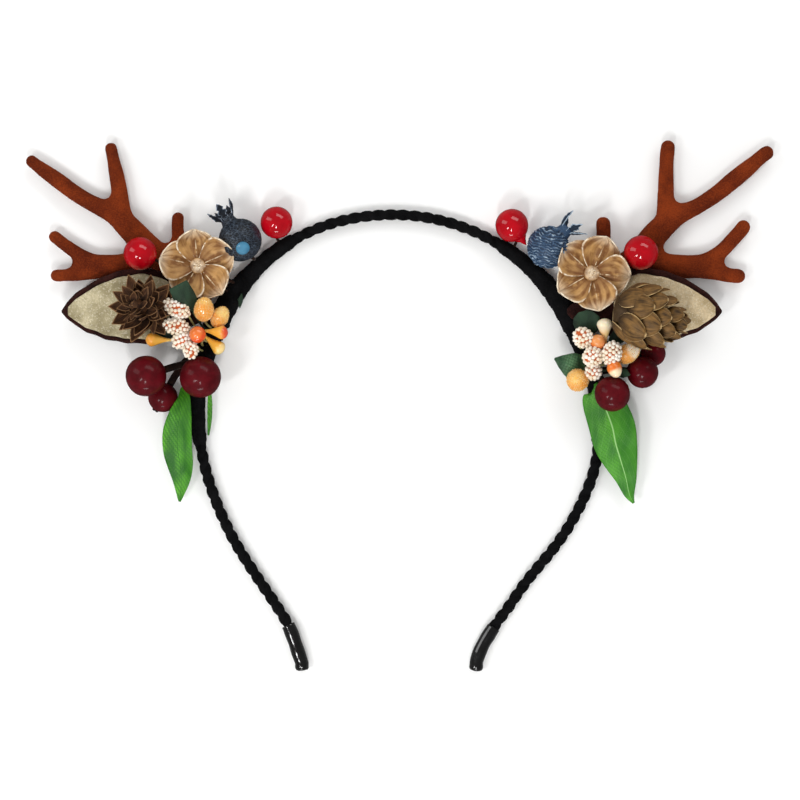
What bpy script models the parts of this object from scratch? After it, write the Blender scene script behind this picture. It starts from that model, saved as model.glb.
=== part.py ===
"""Reindeer antler headband, lying on its back on a flat surface.

A velvet bound hair band carries, on each side, a flocked antler, a felt ear and a
bunch of dried and artificial trimmings. Lengths are in metres. +X runs to the right
of the front view, +Y towards the crown of the arch and +Z out of the front. The
origin lies on the surface, below the middle of the headband.

On each side, places are given from an anchor: the point of the arch's circle at
ANCHOR_BEARING. "out" points away from the middle of the headband and "up" towards
the crown. A bearing is an angle round the arch, in degrees from its crown.
"""

import math

import bmesh
import bpy
import numpy as np
from mathutils import Vector

MM = 0.001

CLEARANCE = 0.3 * MM

# Hair band
ARCH_RADIUS = 63.2 * MM
ARCH_CENTRE = (-0.9 * MM, -3.7 * MM)
CORD_DIAMETER = 3.6 * MM
CORE_DIAMETER = 2.6 * MM
TWIST_PITCH = 3.8 * MM
TWIST_DEPTH = 0.22 * MM
CORD_SIDES = 6
CAP_DIAMETER = 4.4 * MM
CAP_LENGTH = 15.0 * MM
CAP_WALL = 0.5 * MM
REST_HEIGHT = CAP_DIAMETER / 2
HIDDEN_STEP = 5.0 * MM
# Round nose of a cap: shares of its half width along it and across it
CAP_NOSE = ((0.60, 1.00), (0.15, 0.72))

# Centreline of the arch: bearing, and distance from the arch centre as a share of
# ARCH_RADIUS. The left leg has the negative bearings.
ARCH_ROWS = (
    (-159.1, 1.335),
    (-157.8, 1.278),
    (-150.8, 1.140),
    (-138.0, 1.046),
    (-119.9, 0.995),
    (-103.3, 0.982),
    (-89.2, 0.990),
    (-59.0, 1.010),
    (-31.0, 1.018),
    (0.0, 1.002),
    (31.0, 0.990),
    (63.0, 0.982),
    (90.0, 0.990),
    (104.5, 1.000),
    (121.9, 0.997),
    (139.8, 1.017),
    (151.7, 1.097),
    (158.2, 1.173),
    (161.7, 1.247),
    (162.9, 1.307),
)
ARCH_SAMPLES = 1200

# Velvet tape wrap
WRAP_BEARINGS = (31.0, 97.0)
WRAP_WIDTH = 7.8 * MM
WRAP_DEPTH = 6.4 * MM
WRAP_SIDES = 12
WRAP_RINGS = 12
# Share of the wrap's length from its upper end, share of WRAP_WIDTH, of WRAP_DEPTH
WRAP_ROWS = (
    (0.00, 0.58, 0.70),
    (0.15, 0.64, 0.76),
    (0.32, 0.88, 0.93),
    (0.46, 1.00, 1.00),
    (0.62, 0.90, 1.00),
    (0.80, 0.68, 0.84),
    (1.00, 0.58, 0.70),
)
# How far the flat underside reaches up the section: the share of the half depth that
# a full turn below the middle would go down
WRAP_FLATNESS = 1.2

ANCHOR_BEARING = 60.0

# Antlers
ANTLER_REACH = 56.0 * MM
TINE_WIDTH = 8.0 * MM
TINE_DEPTH_SHARE = 0.70
TINE_SIDES = 8
# Length of a tine's rounded tip as a share of its last width
TINE_NOSE = 0.33
ANTLER_BEARING = 56.0
ANTLER_LIFT = 0.6 * MM
ANTLER_HEIGHT = TINE_WIDTH * TINE_DEPTH_SHARE / 2 + ANTLER_LIFT
# Rows of a tine: out and up as shares of ANTLER_REACH, width as a share of TINE_WIDTH
LEFT_TINES = {
    "beam": (
        (0.00, 0.00, 0.90),
        (0.07, 0.05, 0.92),
        (0.21, 0.13, 0.98),
        (0.37, 0.26, 1.00),
        (0.47, 0.36, 0.95),
        (0.56, 0.45, 0.84),
        (0.66, 0.50, 0.64),
        (0.77, 0.56, 0.60),
        (0.88, 0.64, 0.60),
        (0.99, 0.72, 0.50),
        (1.045, 0.762, 0.30),
    ),
    "up": (
        (0.50, 0.38, 0.60),
        (0.53, 0.50, 0.62),
        (0.55, 0.62, 0.60),
        (0.575, 0.75, 0.48),
        (0.595, 0.845, 0.28),
    ),
    "branch": (
        (0.38, 0.22, 0.70),
        (0.52, 0.175, 0.86),
        (0.66, 0.175, 0.80),
        (0.75, 0.22, 0.56),
        (0.85, 0.29, 0.46),
        (0.92, 0.345, 0.26),
    ),
    "prong": (
        (0.58, 0.155, 0.60),
        (0.70, 0.135, 0.54),
        (0.82, 0.12, 0.50),
        (0.915, 0.115, 0.28),
    ),
    "short": (
        (0.15, 0.11, 0.60),
        (0.20, 0.25, 0.54),
        (0.22, 0.37, 0.46),
        (0.217, 0.455, 0.28),
    ),
}
RIGHT_TINES = {
    "beam": (
        (0.00, 0.00, 0.90),
        (0.08, 0.05, 0.92),
        (0.22, 0.13, 0.98),
        (0.36, 0.25, 1.00),
        (0.46, 0.37, 0.98),
        (0.56, 0.46, 0.84),
        (0.68, 0.515, 0.60),
        (0.79, 0.585, 0.62),
        (0.90, 0.675, 0.66),
        (0.98, 0.74, 0.60),
        (1.05, 0.80, 0.42),
        (1.08, 0.82, 0.24),
    ),
    "up": (
        (0.50, 0.40, 0.66),
        (0.51, 0.53, 0.64),
        (0.512, 0.67, 0.58),
        (0.517, 0.79, 0.50),
        (0.524, 0.865, 0.28),
    ),
    "branch": (
        (0.42, 0.22, 0.70),
        (0.56, 0.185, 0.90),
        (0.70, 0.19, 0.84),
        (0.80, 0.25, 0.58),
        (0.87, 0.32, 0.50),
        (0.93, 0.385, 0.42),
        (0.945, 0.41, 0.26),
    ),
    "prong": (
        (0.62, 0.165, 0.60),
        (0.74, 0.155, 0.56),
        (0.86, 0.135, 0.50),
        (0.93, 0.13, 0.28),
    ),
    "short": (
        (0.12, 0.08, 0.60),
        (0.16, 0.23, 0.56),
        (0.165, 0.36, 0.50),
        (0.162, 0.44, 0.28),
    ),
}

# Ears
EAR_LENGTH = 48.0 * MM
EAR_WIDTH = 24.6 * MM
EAR_BACK = 1.2 * MM
EAR_FRONT = 1.0 * MM
EAR_BORDER = 2.1 * MM
EAR_BORDER_BELOW = 1.4 * MM
EAR_LIFT = 1.5 * MM
LEFT_EAR_ROOT = 1.6 * MM
RIGHT_EAR_ROOT = -2.3 * MM
EAR_HEIGHT = WRAP_DEPTH + CLEARANCE
EAR_TOP = EAR_HEIGHT + EAR_BACK + CLEARANCE + EAR_FRONT
# Share of EAR_LENGTH from the root, shares of half of EAR_WIDTH above and below
EAR_ROWS = (
    (0.00, 0.20, 0.20),
    (0.08, 0.26, 0.24),
    (0.18, 0.52, 0.42),
    (0.32, 0.95, 0.72),
    (0.46, 1.12, 0.82),
    (0.60, 1.05, 0.79),
    (0.72, 0.90, 0.70),
    (0.84, 0.65, 0.52),
    (0.91, 0.45, 0.36),
    (0.965, 0.24, 0.18),
)
EAR_FRONT_START = 0.30

# Cones
CONE_DIAMETER = 20.4 * MM
CONE_WHORLS = 6
CONE_SCALES = 6
CONE_SCALE_DEPTH = 2.2 * MM
# Two rings a whorl: share of the whorl's length, how far the scales swell out there
CONE_WHORL_ROWS = ((0.25, 0.0), (0.85, 1.0))
CONE_SCALE_LEAN = 0.04
CONE_TIP = 1.02
# Share of the cone's length from its base, share of half of CONE_DIAMETER
CONE_ROWS = ((0.0, 0.36), (0.14, 0.80), (0.34, 1.0), (0.60, 0.88), (0.82, 0.56), (1.0, 0.18))
# Side, name, the base's out and up in millimetres from the anchor, its height above the
# ear as a share of half of CONE_DIAMETER, direction, length in millimetres
CONES = (
    (-1, "left_cone", 22.4, 1.8, 0.14, (-0.16, 0.05, 0.98), 19.0),
    (1, "right_cone", 12.0, 1.6, 1.06, (0.98, -0.19, -0.07), 22.5),
)

# Flowers
FLOWER_DIAMETER = 23.6 * MM
FLOWER_CUP = 2.6 * MM
FLOWER_PETALS = 5
PETAL_SIDES = 6
# Radius in the notch between two petals as a share of the radius at their tips
FLOWER_NOTCH = 0.55
PETAL_BLUNTNESS = 0.3
# Rings of the pod from its back to its front: share of half of FLOWER_DIAMETER, height
# as a share of FLOWER_CUP, and how far the petals show
FLOWER_ROWS = (
    (0.00, -0.74, 0.0),
    (0.30, -0.46, 0.4),
    (0.72, -0.18, 0.9),
    (1.00, 0.77, 1.0),
    (0.97, 1.00, 1.0),
    (0.66, 0.28, 0.9),
    (0.28, 0.18, 0.4),
    (0.00, 0.23, 0.0),
)
# Where the wire ends inside the pod's back, as a share of FLOWER_CUP
FLOWER_NECK = -0.37
# Side, name, seat's bearing and lean on the wrap, the middle's out, up and height in
# millimetres from the anchor, and how far the petals are turned in degrees
FLOWERS = (
    (-1, "left_flower", 50.5, 48, 7.2, 15.5, 12.0, 49),
    (1, "right_flower", 50.5, 52, 5.1, 13.2, 12.4, 6),
)

# Pomegranates
POMEGRANATE_DIAMETER = 13.2 * MM
SEPAL_LENGTH = 5.4 * MM
SEPALS = 5
# Angles of the body's rings above its middle, in degrees
POMEGRANATE_TURNS = (-75, -50, -22, 8, 38, 62)
# Where the crown starts, as a share of the body's radius
CROWN_SEAT = 0.9
# Crown: share of the body's radius, share of SEPAL_LENGTH, how far the gaps drop
CROWN_ROWS = ((0.34, 0.30, 0.0), (0.62, 1.00, 0.60), (0.50, 0.96, 0.56), (0.20, 0.34, 0.0))
CROWN_FLOOR = 0.10
# Side, name, seat's bearing and lean on the wrap, the middle's out, up and height in
# millimetres from the anchor, and the direction of the crown
POMEGRANATES = (
    (-1, "left_pomegranate", 42.0, 20, -5.8, 23.6, 8.4, (-0.52, 0.85, 0.10)),
    (1, "right_pomegranate", 42.0, 20, -8.2, 21.4, 8.4, (0.70, 0.70, 0.10)),
)

# Wires and stems
STEM_DIAMETER = 0.7 * MM
FLOWER_KNEE = 2.6 * MM
ROUND_SIDES = 10

# Berries
RED_BERRY = 10.3 * MM
BURGUNDY_BERRY = 12.6 * MM

# Leaves
LEAF_THICKNESS = 1.0 * MM
LONG_LEAF_WIDTH = 12.0 * MM

# Across a blade: share of its half width, share of the fold's height
BLADE_ROWS = ((-1.0, 0.0), (-0.5, 0.6), (0.0, 1.0), (0.5, 0.6), (1.0, 0.0))
# Height of the fold as a share of the half width
BLADE_FOLD = 0.16
# Share of the blade's length, share of its half width
LEAF_ROWS = ((0.0, 0.2), (0.25, 0.8), (0.55, 1.0), (0.82, 0.66), (1.0, 0.12))

# Share of a solid's length from its stem, share of its half width
BERRY = ((0.03, 0.26), (0.12, 0.62), (0.27, 0.88), (0.5, 1.0), (0.73, 0.88), (0.9, 0.6))
STAMEN = ((0.05, 0.35), (0.2, 0.8), (0.45, 1.0), (0.72, 0.92), (0.92, 0.5))
DROP = ((0.12, 0.24), (0.35, 0.5), (0.6, 0.86), (0.8, 1.0), (0.94, 0.62))
BUD = ((0.05, 0.35), (0.2, 0.82), (0.45, 1.0), (0.72, 0.84), (0.92, 0.42))

# Trimmings on stems. Seat: bearing and lean on the wrap, where lean 0 is its outer
# side and 90 its front, and how far the stem goes out before it bends. Middle: out,
# up and height from the anchor. Size: length and width. All in millimetres.
TRIMMING_COLUMNS = (
    "name",
    "profile",
    "material",
    "bearing",
    "lean",
    "knee",
    "out",
    "up",
    "height",
    "length",
    "width",
)
LEFT_TRIMMINGS = (
    ("stamen_1", STAMEN, "seed bead", 66.8, 50, 3.0, 12.9, 1.8, 12.0, 7.6, 4.4),
    ("stamen_2", STAMEN, "seed bead", 68.4, 50, 3.0, 13.4, -3.7, 12.7, 7.8, 4.2),
    ("stamen_3", STAMEN, "seed bead", 70.4, 50, 3.0, 11.4, -7.8, 14.2, 6.2, 4.4),
    ("stamen_4", STAMEN, "seed bead", 71.0, 76, 3.0, 8.6, -10.9, 16.6, 5.0, 4.0),
    ("bud_1", BUD, "sugared bud", 64.2, 76, 3.0, 5.0, 1.9, 15.8, 7.8, 5.8),
    ("bud_2", BUD, "sugared bud", 64.6, 100, 3.0, 0.0, -0.5, 12.6, 7.0, 5.2),
    ("bud_3", BERRY, "orange bud", 68.2, 82, 3.0, 6.9, -5.9, 16.4, 5.0, 5.0),
    ("bud_4", DROP, "orange bud", 66.8, 70, 3.0, 0.8, -5.2, 13.0, 7.4, 3.7),
    ("bud_5", DROP, "yellow bud", 69.6, 70, 3.0, 1.6, -8.9, 11.8, 7.4, 3.9),
    ("bud_6", DROP, "yellow bud", 71.8, 46, 3.0, 19.4, -8.0, 11.8, 8.4, 3.9),
)
RIGHT_TRIMMINGS = (
    ("stamen_1", STAMEN, "seed bead", 69.0, 112, 3.0, 2.2, -6.8, 15.2, 6.4, 6.0),
    ("stamen_2", STAMEN, "seed bead", 73.4, 88, 3.0, 5.1, -12.7, 16.4, 6.4, 5.8),
    ("stamen_3", STAMEN, "seed bead", 76.4, 96, 3.0, 5.5, -17.3, 13.4, 5.0, 4.4),
    ("stamen_4", STAMEN, "seed bead", 71.8, 62, 3.0, 11.0, -11.6, 17.2, 7.0, 5.6),
    ("bud_1", DROP, "cream bud", 69.0, 62, 3.0, 8.8, -3.9, 13.0, 8.0, 4.8),
    ("bud_2", BERRY, "orange bud", 71.4, 84, 3.0, 6.7, -7.7, 13.2, 4.4, 4.4),
    ("bud_3", BUD, "sugared bud", 74.4, 48, 3.0, 16.6, -11.2, 13.6, 7.8, 5.8),
    ("bud_4", BUD, "orange bud", 75.6, 66, 3.0, 11.8, -16.4, 17.0, 5.4, 4.4),
    ("bud_5", BUD, "sugared bud", 77.8, 122, 3.0, 0.7, -19.8, 11.8, 7.4, 6.8),
)
# The same columns, with the sizes as shares of the standard berries' diameters
LEFT_BERRIES = (
    ("top_berry", BERRY, "red gloss", 34.0, 20, 2.0, -17.0, 29.1, 6.4, 0.97, 0.97),
    ("antler_berry", BERRY, "red gloss", 53.4, 50, 2.0, 24.9, 19.2, 12.0, 1.0, 1.0),
    ("burgundy_berry_1", BERRY, "burgundy", 75.0, 26, 2.0, 23.0, -18.6, 13.4, 1.0, 1.0),
    ("burgundy_berry_2", BERRY, "burgundy", 77.5, 78, 2.0, 6.3, -18.9, 12.6, 1.02, 1.02),
    ("burgundy_berry_3", BERRY, "burgundy", 73.0, 4, 2.0, 18.4, -25.2, 4.9, 0.73, 0.73),
)
RIGHT_BERRIES = (
    ("top_berry", BERRY, "red gloss", 34.0, 20, 2.0, -19.4, 28.2, 6.4, 1.0, 1.0),
    ("antler_berry", BERRY, "red gloss", 53.4, 50, 2.0, 20.3, 19.5, 12.0, 1.04, 1.04),
    ("burgundy_berry_1", BERRY, "burgundy", 78.2, 74, 2.0, 11.3, -24.1, 14.0, 0.87, 0.87),
    ("burgundy_berry_2", BERRY, "burgundy", 77.0, 20, 2.0, 20.9, -17.4, 10.0, 0.78, 0.78),
    ("burgundy_berry_3", BERRY, "burgundy", 74.0, 8, 2.0, 24.6, -11.6, 4.2, 0.62, 0.62),
)

# Small leaves: name, seat's bearing, lean and knee, the tip's out, up and height, the
# width, in millimetres from the anchor, and where the blade starts along the leaf
LEFT_LEAVES = (
    ("leaf_1", 65.2, 62, 4.0, 12.8, 9.4, 19.0, 6.0, 0.42),
    ("leaf_2", 69.2, 40, 4.0, 21.0, -2.6, 10.7, 5.6, 0.30),
    ("leaf_3", 53.5, 128, 1.6, -6.4, 5.4, 8.0, 4.6, 0.20),
)
RIGHT_LEAVES = (
    ("leaf_1", 68.2, 96, 2.0, 4.4, 1.6, 12.5, 8.6, 0.25),
    ("leaf_2", 75.4, 124, 2.0, -6.2, -13.0, 10.0, 7.6, 0.25),
    ("leaf_3", 77.0, 40, 3.0, 16.8, -18.2, 14.4, 3.0, 0.40),
    ("leaf_4", 70.4, 46, 4.2, 16.6, -4.6, 10.9, 4.6, 0.25),
)
# Long leaves: out, up and height in millimetres from the anchor of the middle line,
# and the share of LONG_LEAF_WIDTH
LEFT_LONG_LEAF = (
    (11.8, -23.0, 5.8, 0.20),
    (11.8, -26.0, 7.4, 0.36),
    (12.8, -30.6, 8.0, 0.60),
    (13.7, -36.0, 7.6, 0.76),
    (13.7, -41.0, 6.8, 0.76),
    (13.0, -46.0, 5.8, 0.68),
    (12.7, -51.0, 4.4, 0.46),
    (13.3, -57.6, 2.8, 0.06),
)
RIGHT_LONG_LEAF = (
    (7.9, -22.9, 6.6, 0.80),
    (8.7, -26.0, 6.4, 1.04),
    (11.6, -33.8, 6.6, 1.18),
    (12.8, -39.4, 6.6, 1.12),
    (14.1, -43.7, 6.0, 0.96),
    (16.1, -50.2, 4.8, 0.57),
    (17.2, -55.2, 3.8, 0.28),
    (18.6, -58.1, 3.2, 0.05),
)
UNDER_LEAF = (
    (3.9, -27.5, 2.6, 0.13),
    (4.0, -32.0, 2.4, 0.12),
    (4.4, -37.0, 1.9, 0.05),
)
# Side, name, rows, and the bearing and lean of the seat on the wrap
LONG_LEAVES = (
    (-1, "left_long_leaf", LEFT_LONG_LEAF, 79.5, 4),
    (-1, "left_under_leaf", UNDER_LEAF, 82.0, 172),
    (1, "right_long_leaf", RIGHT_LONG_LEAF, 80.0, 92),
)

SHARP_ANGLE = 50

# Name, colour (red, green, blue), roughness, metallic
MATERIALS = {
    "black velvet": ((0.006, 0.006, 0.008), 0.9, 0.0),
    "black gloss": ((0.004, 0.004, 0.005), 0.15, 0.0),
    "flock": ((0.14, 0.025, 0.008), 0.95, 0.0),
    "dark felt": ((0.022, 0.010, 0.008), 0.95, 0.0),
    "glitter cloth": ((0.50, 0.38, 0.24), 0.45, 0.3),
    "cone": ((0.16, 0.085, 0.035), 0.8, 0.0),
    "dried pod": ((0.56, 0.34, 0.15), 0.7, 0.0),
    "blue fruit": ((0.045, 0.11, 0.22), 0.5, 0.2),
    "red gloss": ((0.45, 0.0, 0.01), 0.08, 0.0),
    "burgundy": ((0.11, 0.004, 0.008), 0.4, 0.0),
    "seed bead": ((0.85, 0.74, 0.58), 0.4, 0.0),
    "sugared bud": ((0.85, 0.36, 0.05), 0.4, 0.0),
    "orange bud": ((0.80, 0.16, 0.01), 0.3, 0.0),
    "yellow bud": ((0.90, 0.55, 0.10), 0.35, 0.0),
    "cream bud": ((0.90, 0.72, 0.42), 0.35, 0.0),
    "dark leaf": ((0.012, 0.05, 0.02), 0.7, 0.0),
    "bright leaf": ((0.06, 0.33, 0.02), 0.4, 0.0),
}

FRONT = Vector((0, 0, 1))


def clear_scene():
    for item in list(bpy.data.objects):
        bpy.data.objects.remove(item, do_unlink=True)


def make_material(name):
    """A plain Principled material from its row in MATERIALS."""
    found = bpy.data.materials.get(name)
    if found:
        return found
    colour, roughness, metallic = MATERIALS[name]
    material = bpy.data.materials.new(name)
    material.use_nodes = True
    shader = material.node_tree.nodes["Principled BSDF"]
    shader.inputs["Base Color"].default_value = (*colour, 1.0)
    shader.inputs["Roughness"].default_value = roughness
    shader.inputs["Metallic"].default_value = metallic
    return material


def add_object(name, material, mesh_data):
    """Turn a bmesh into a smooth shaded object with one material."""
    bmesh.ops.recalc_face_normals(mesh_data, faces=mesh_data.faces)
    mesh = bpy.data.meshes.new(name)
    mesh_data.to_mesh(mesh)
    mesh_data.free()
    mesh.materials.append(make_material(material))
    mesh.shade_smooth()
    mesh.set_sharp_from_angle(angle=math.radians(SHARP_ANGLE))
    item = bpy.data.objects.new(name, mesh)
    bpy.context.scene.collection.objects.link(item)
    return item


def loft(rings, cyclic=False):
    """Join rings of points into one closed bmesh. A ring of one point is a pole."""
    body = bmesh.new()
    rows = []
    for ring in rings:
        rows.append([body.verts.new(point) for point in ring])
    pairs = list(zip(rows, rows[1:]))
    if cyclic:
        pairs.append((rows[-1], rows[0]))
    for first, second in pairs:
        count = max(len(first), len(second))
        for index in range(count):
            after = (index + 1) % count
            if len(first) == 1:
                body.faces.new((first[0], second[after], second[index]))
            elif len(second) == 1:
                body.faces.new((first[index], first[after], second[0]))
            else:
                body.faces.new((first[index], first[after], second[after], second[index]))
    if not cyclic:
        for row in (rows[0], rows[-1]):
            if len(row) > 1:
                body.faces.new(row)
    return body


def ring_at(centre, across, depth, half_width, half_depth, sides):
    """An oval ring of points in the plane of the two directions."""
    points = []
    for index in range(sides):
        turn = 2 * math.pi * index / sides
        points.append(
            centre + across * half_width * math.cos(turn) + depth * half_depth * math.sin(turn)
        )
    return points


def two_directions(axis):
    """Two unit directions square to an axis, the second as near +Z as it can be."""
    across = axis.cross(FRONT)
    if across.length < 0.05:
        across = axis.cross(Vector((0, 1, 0)))
    across.normalize()
    return across, across.cross(axis).normalized()


def smooth_rows(rows, samples):
    """Read a short table at even steps, through a smooth curve of its rows."""
    table = np.array(rows, dtype=float)
    count = len(table)
    slopes = np.gradient(table, axis=0)
    out = []
    for step in np.linspace(0, count - 1, samples):
        low = min(int(step), count - 2)
        part = step - low
        square, cube = part * part, part * part * part
        out.append(
            (2 * cube - 3 * square + 1) * table[low]
            + (cube - 2 * square + part) * slopes[low]
            + (3 * square - 2 * cube) * table[low + 1]
            + (cube - square) * slopes[low + 1]
        )
    return np.array(out)


def share_at(rows, share):
    """The other columns of a table whose first column is a share, at one share."""
    table = np.array(rows, dtype=float)
    columns = [np.interp(share, table[:, 0], column) for column in table[:, 1:].T]
    return columns


def make_arch():
    """Points, lengths and bearings along the band's centreline."""
    polar = smooth_rows(ARCH_ROWS, ARCH_SAMPLES)
    turn = np.radians(polar[:, 0])
    reach = polar[:, 1] * ARCH_RADIUS
    points = np.stack(
        [ARCH_CENTRE[0] + reach * np.sin(turn), ARCH_CENTRE[1] + reach * np.cos(turn)], axis=1
    )
    steps = np.linalg.norm(np.diff(points, axis=0), axis=1)
    lengths = np.concatenate([[0.0], np.cumsum(steps)])
    return points, lengths, polar[:, 0]


ARCH_POINTS, ARCH_LENGTHS, ARCH_TURNS = make_arch()
ARCH_LENGTH = float(ARCH_LENGTHS[-1])


def arch_at(length):
    """Point, direction and outward direction of the centreline at a length."""
    x = np.interp(length, ARCH_LENGTHS, ARCH_POINTS[:, 0])
    y = np.interp(length, ARCH_LENGTHS, ARCH_POINTS[:, 1])
    near = int(np.clip(np.searchsorted(ARCH_LENGTHS, length), 1, ARCH_SAMPLES - 1))
    step = ARCH_POINTS[near] - ARCH_POINTS[near - 1]
    along = Vector((step[0], step[1], 0)).normalized()
    outward = FRONT.cross(along)
    return Vector((x, y, REST_HEIGHT)), along, outward


def length_at(bearing):
    return float(np.interp(bearing, ARCH_TURNS, ARCH_LENGTHS))


def from_anchor(side, out, up, height):
    """A place given from the anchor of one side, side -1 on the left and 1 right."""
    turn = math.radians(ANCHOR_BEARING)
    x = ARCH_CENTRE[0] + side * (ARCH_RADIUS * math.sin(turn) + out)
    y = ARCH_CENTRE[1] + ARCH_RADIUS * math.cos(turn) + up
    return Vector((x, y, height))


def wrap_section(bearing):
    """Half width and depth of the wrap at a bearing from the crown."""
    first, last = WRAP_BEARINGS
    width, depth = share_at(WRAP_ROWS, (bearing - first) / (last - first))
    return width * WRAP_WIDTH / 2, depth * WRAP_DEPTH


def wrap_point(side, bearing, lean):
    """A point on the wrap's surface, and the direction that it faces."""
    half_width, depth = wrap_section(bearing)
    centre, _, outward = arch_at(length_at(side * bearing))
    turn = math.radians(lean)
    middle = depth / 2
    rise = max(0.0, middle + middle * math.sin(turn) * (1 if lean < 180 else WRAP_FLATNESS))
    place = Vector((centre.x, centre.y, rise)) + outward * half_width * math.cos(turn)
    facing = outward * math.cos(turn) * middle + FRONT * math.sin(turn) * half_width
    return place, facing.normalized()


def make_wrap(side, name):
    """A tube of tape round the band's core, flat below where it lies."""
    rings = []
    holes = []
    for bearing in np.linspace(*WRAP_BEARINGS, WRAP_RINGS):
        ring = []
        for index in range(WRAP_SIDES):
            point, _ = wrap_point(side, bearing, 360 * index / WRAP_SIDES)
            ring.append(point)
        rings.append(ring)
        centre, _, outward = arch_at(length_at(side * bearing))
        bore = CORE_DIAMETER / 2 + CLEARANCE
        holes.append(ring_at(centre, outward, FRONT, bore, bore, WRAP_SIDES))
    return add_object(name, "black velvet", loft(rings + holes[::-1], cyclic=True))


def band_stations():
    """Lengths of the band's rings, each with its radius and its twist."""
    wraps = []
    for side in (-1, 1):
        ends = sorted(length_at(side * bearing) for bearing in WRAP_BEARINGS)
        wraps.append(ends)
    hidden = [(CAP_WALL + CLEARANCE, CAP_LENGTH)]
    hidden += wraps
    hidden += [(ARCH_LENGTH - CAP_LENGTH, ARCH_LENGTH - CAP_WALL - CLEARANCE)]
    rows = []
    for index, (start, stop) in enumerate(hidden):
        count = max(2, int(round((stop - start) / HIDDEN_STEP)))
        rows += [(place, CORE_DIAMETER / 2, 0.0) for place in np.linspace(start, stop, count)]
        if index + 1 < len(hidden):
            first = stop + CLEARANCE
            last = hidden[index + 1][0] - CLEARANCE
            count = int(round((last - first) / (TWIST_PITCH / 2)))
            for number, place in enumerate(np.linspace(first, last, count)):
                depth = TWIST_DEPTH * (1 if number % 2 else -1)
                rows.append((place, CORD_DIAMETER / 2 - TWIST_DEPTH / 2, depth))
    return rows


def make_band():
    """The twisted cord: every other ring swells to one side, then to the other."""
    rings = []
    for place, radius, twist in band_stations():
        centre, _, outward = arch_at(place)
        ring = []
        for index in range(CORD_SIDES):
            turn = 2 * math.pi * index / CORD_SIDES
            reach = radius + twist * math.cos(turn)
            ring.append(
                centre + outward * reach * math.cos(turn) + FRONT * reach * math.sin(turn)
            )
        rings.append(ring)
    return add_object("band", "black velvet", loft(rings))


def make_cap(name, at_start):
    """A closed tube over one end of the band."""
    outer = CAP_DIAMETER / 2
    inner = CORE_DIAMETER / 2 + CLEARANCE
    outline = [
        (CAP_WALL, 0.0),
        (CAP_WALL, inner),
        (CAP_LENGTH / 2, inner),
        (CAP_LENGTH, inner),
        (CAP_LENGTH, outer),
        (CAP_LENGTH / 2, outer),
    ]
    outline += [(outer * along, outer * across) for along, across in CAP_NOSE]
    outline.append((0.0, 0.0))
    rings = []
    for along, radius in outline:
        length = along if at_start else ARCH_LENGTH - along
        centre, _, outward = arch_at(length)
        if radius:
            rings.append(ring_at(centre, outward, FRONT, radius, radius, ROUND_SIDES))
        else:
            rings.append([centre])
    return add_object(name, "black gloss", loft(rings))


def tine_body(rows, root, side):
    """A tapered branch through its rows, with a rounded tip."""
    points = []
    for out, up, _ in rows:
        points.append(root + Vector((side * out * ANTLER_REACH, up * ANTLER_REACH, 0)))
    rings = []
    for index, point in enumerate(points):
        before = points[max(index - 1, 0)]
        after = points[min(index + 1, len(points) - 1)]
        along = (after - before).normalized()
        across = along.cross(FRONT)
        half = rows[index][2] * TINE_WIDTH / 2
        depth = half * TINE_DEPTH_SHARE
        rings.append(ring_at(point, across, FRONT, half, depth, TINE_SIDES))
    nose = rows[-1][2] * TINE_WIDTH * TINE_NOSE
    rings.append([points[-1] + (points[-1] - points[-2]).normalized() * nose])
    return loft(rings)


def union(target, others):
    """Join other objects into the target and drop them."""
    for other in others:
        cut = target.modifiers.new("union", "BOOLEAN")
        cut.operation = "UNION"
        cut.solver = "EXACT"
        cut.object = other
        graph = bpy.context.evaluated_depsgraph_get()
        mesh = bpy.data.meshes.new_from_object(target.evaluated_get(graph))
        target.modifiers.clear()
        target.data = mesh
        bpy.data.objects.remove(other, do_unlink=True)
    return target


def make_antler(side, name, tines):
    """The beam with its tines, its root against the wrap's outer side."""
    seat, facing = wrap_point(side, ANTLER_BEARING, 0)
    root = seat + facing * CLEARANCE
    root.z = ANTLER_HEIGHT
    bodies = []
    for key, rows in tines.items():
        bodies.append(add_object(name + "_" + key, "flock", tine_body(rows, root, side)))
    antler = union(bodies[0], bodies[1:])
    antler.name = name
    return antler


def plate(outline, low, high):
    """A flat sheet between two heights with the outline given as x, y pairs."""
    rings = [[Vector((x, y, z)) for x, y in outline] for z in (low, high)]
    return loft(rings)


def ear_outline(side, root, inset, inset_below, start):
    """The pointed outline of an ear sheet, drawn in from the edge of the ear."""
    upper = []
    lower = []
    length = EAR_LENGTH - inset
    half = EAR_WIDTH / 2
    for share, above, below in EAR_ROWS:
        if share >= start and share * EAR_LENGTH < length:
            x = root.x + side * share * EAR_LENGTH
            upper.append((x, root.y + max(above * half - inset, CLEARANCE)))
            lower.append((x, root.y - max(below * half - inset_below, CLEARANCE)))
    tip = (root.x + side * length, root.y)
    return lower + [tip] + upper[::-1]


def make_ear(side, name, root_out):
    """A felt ear lying over the wrap, with a sheet of glitter cloth on its front."""
    root = from_anchor(side, root_out, EAR_LIFT, 0)
    back = ear_outline(side, root, 0.0, 0.0, 0.0)
    add_object(name + "ear_back", "dark felt", plate(back, EAR_HEIGHT, EAR_HEIGHT + EAR_BACK))
    front = ear_outline(side, root, EAR_BORDER, EAR_BORDER_BELOW, EAR_FRONT_START)
    add_object(name + "ear_front", "glitter cloth", plate(front, EAR_TOP - EAR_FRONT, EAR_TOP))


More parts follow.
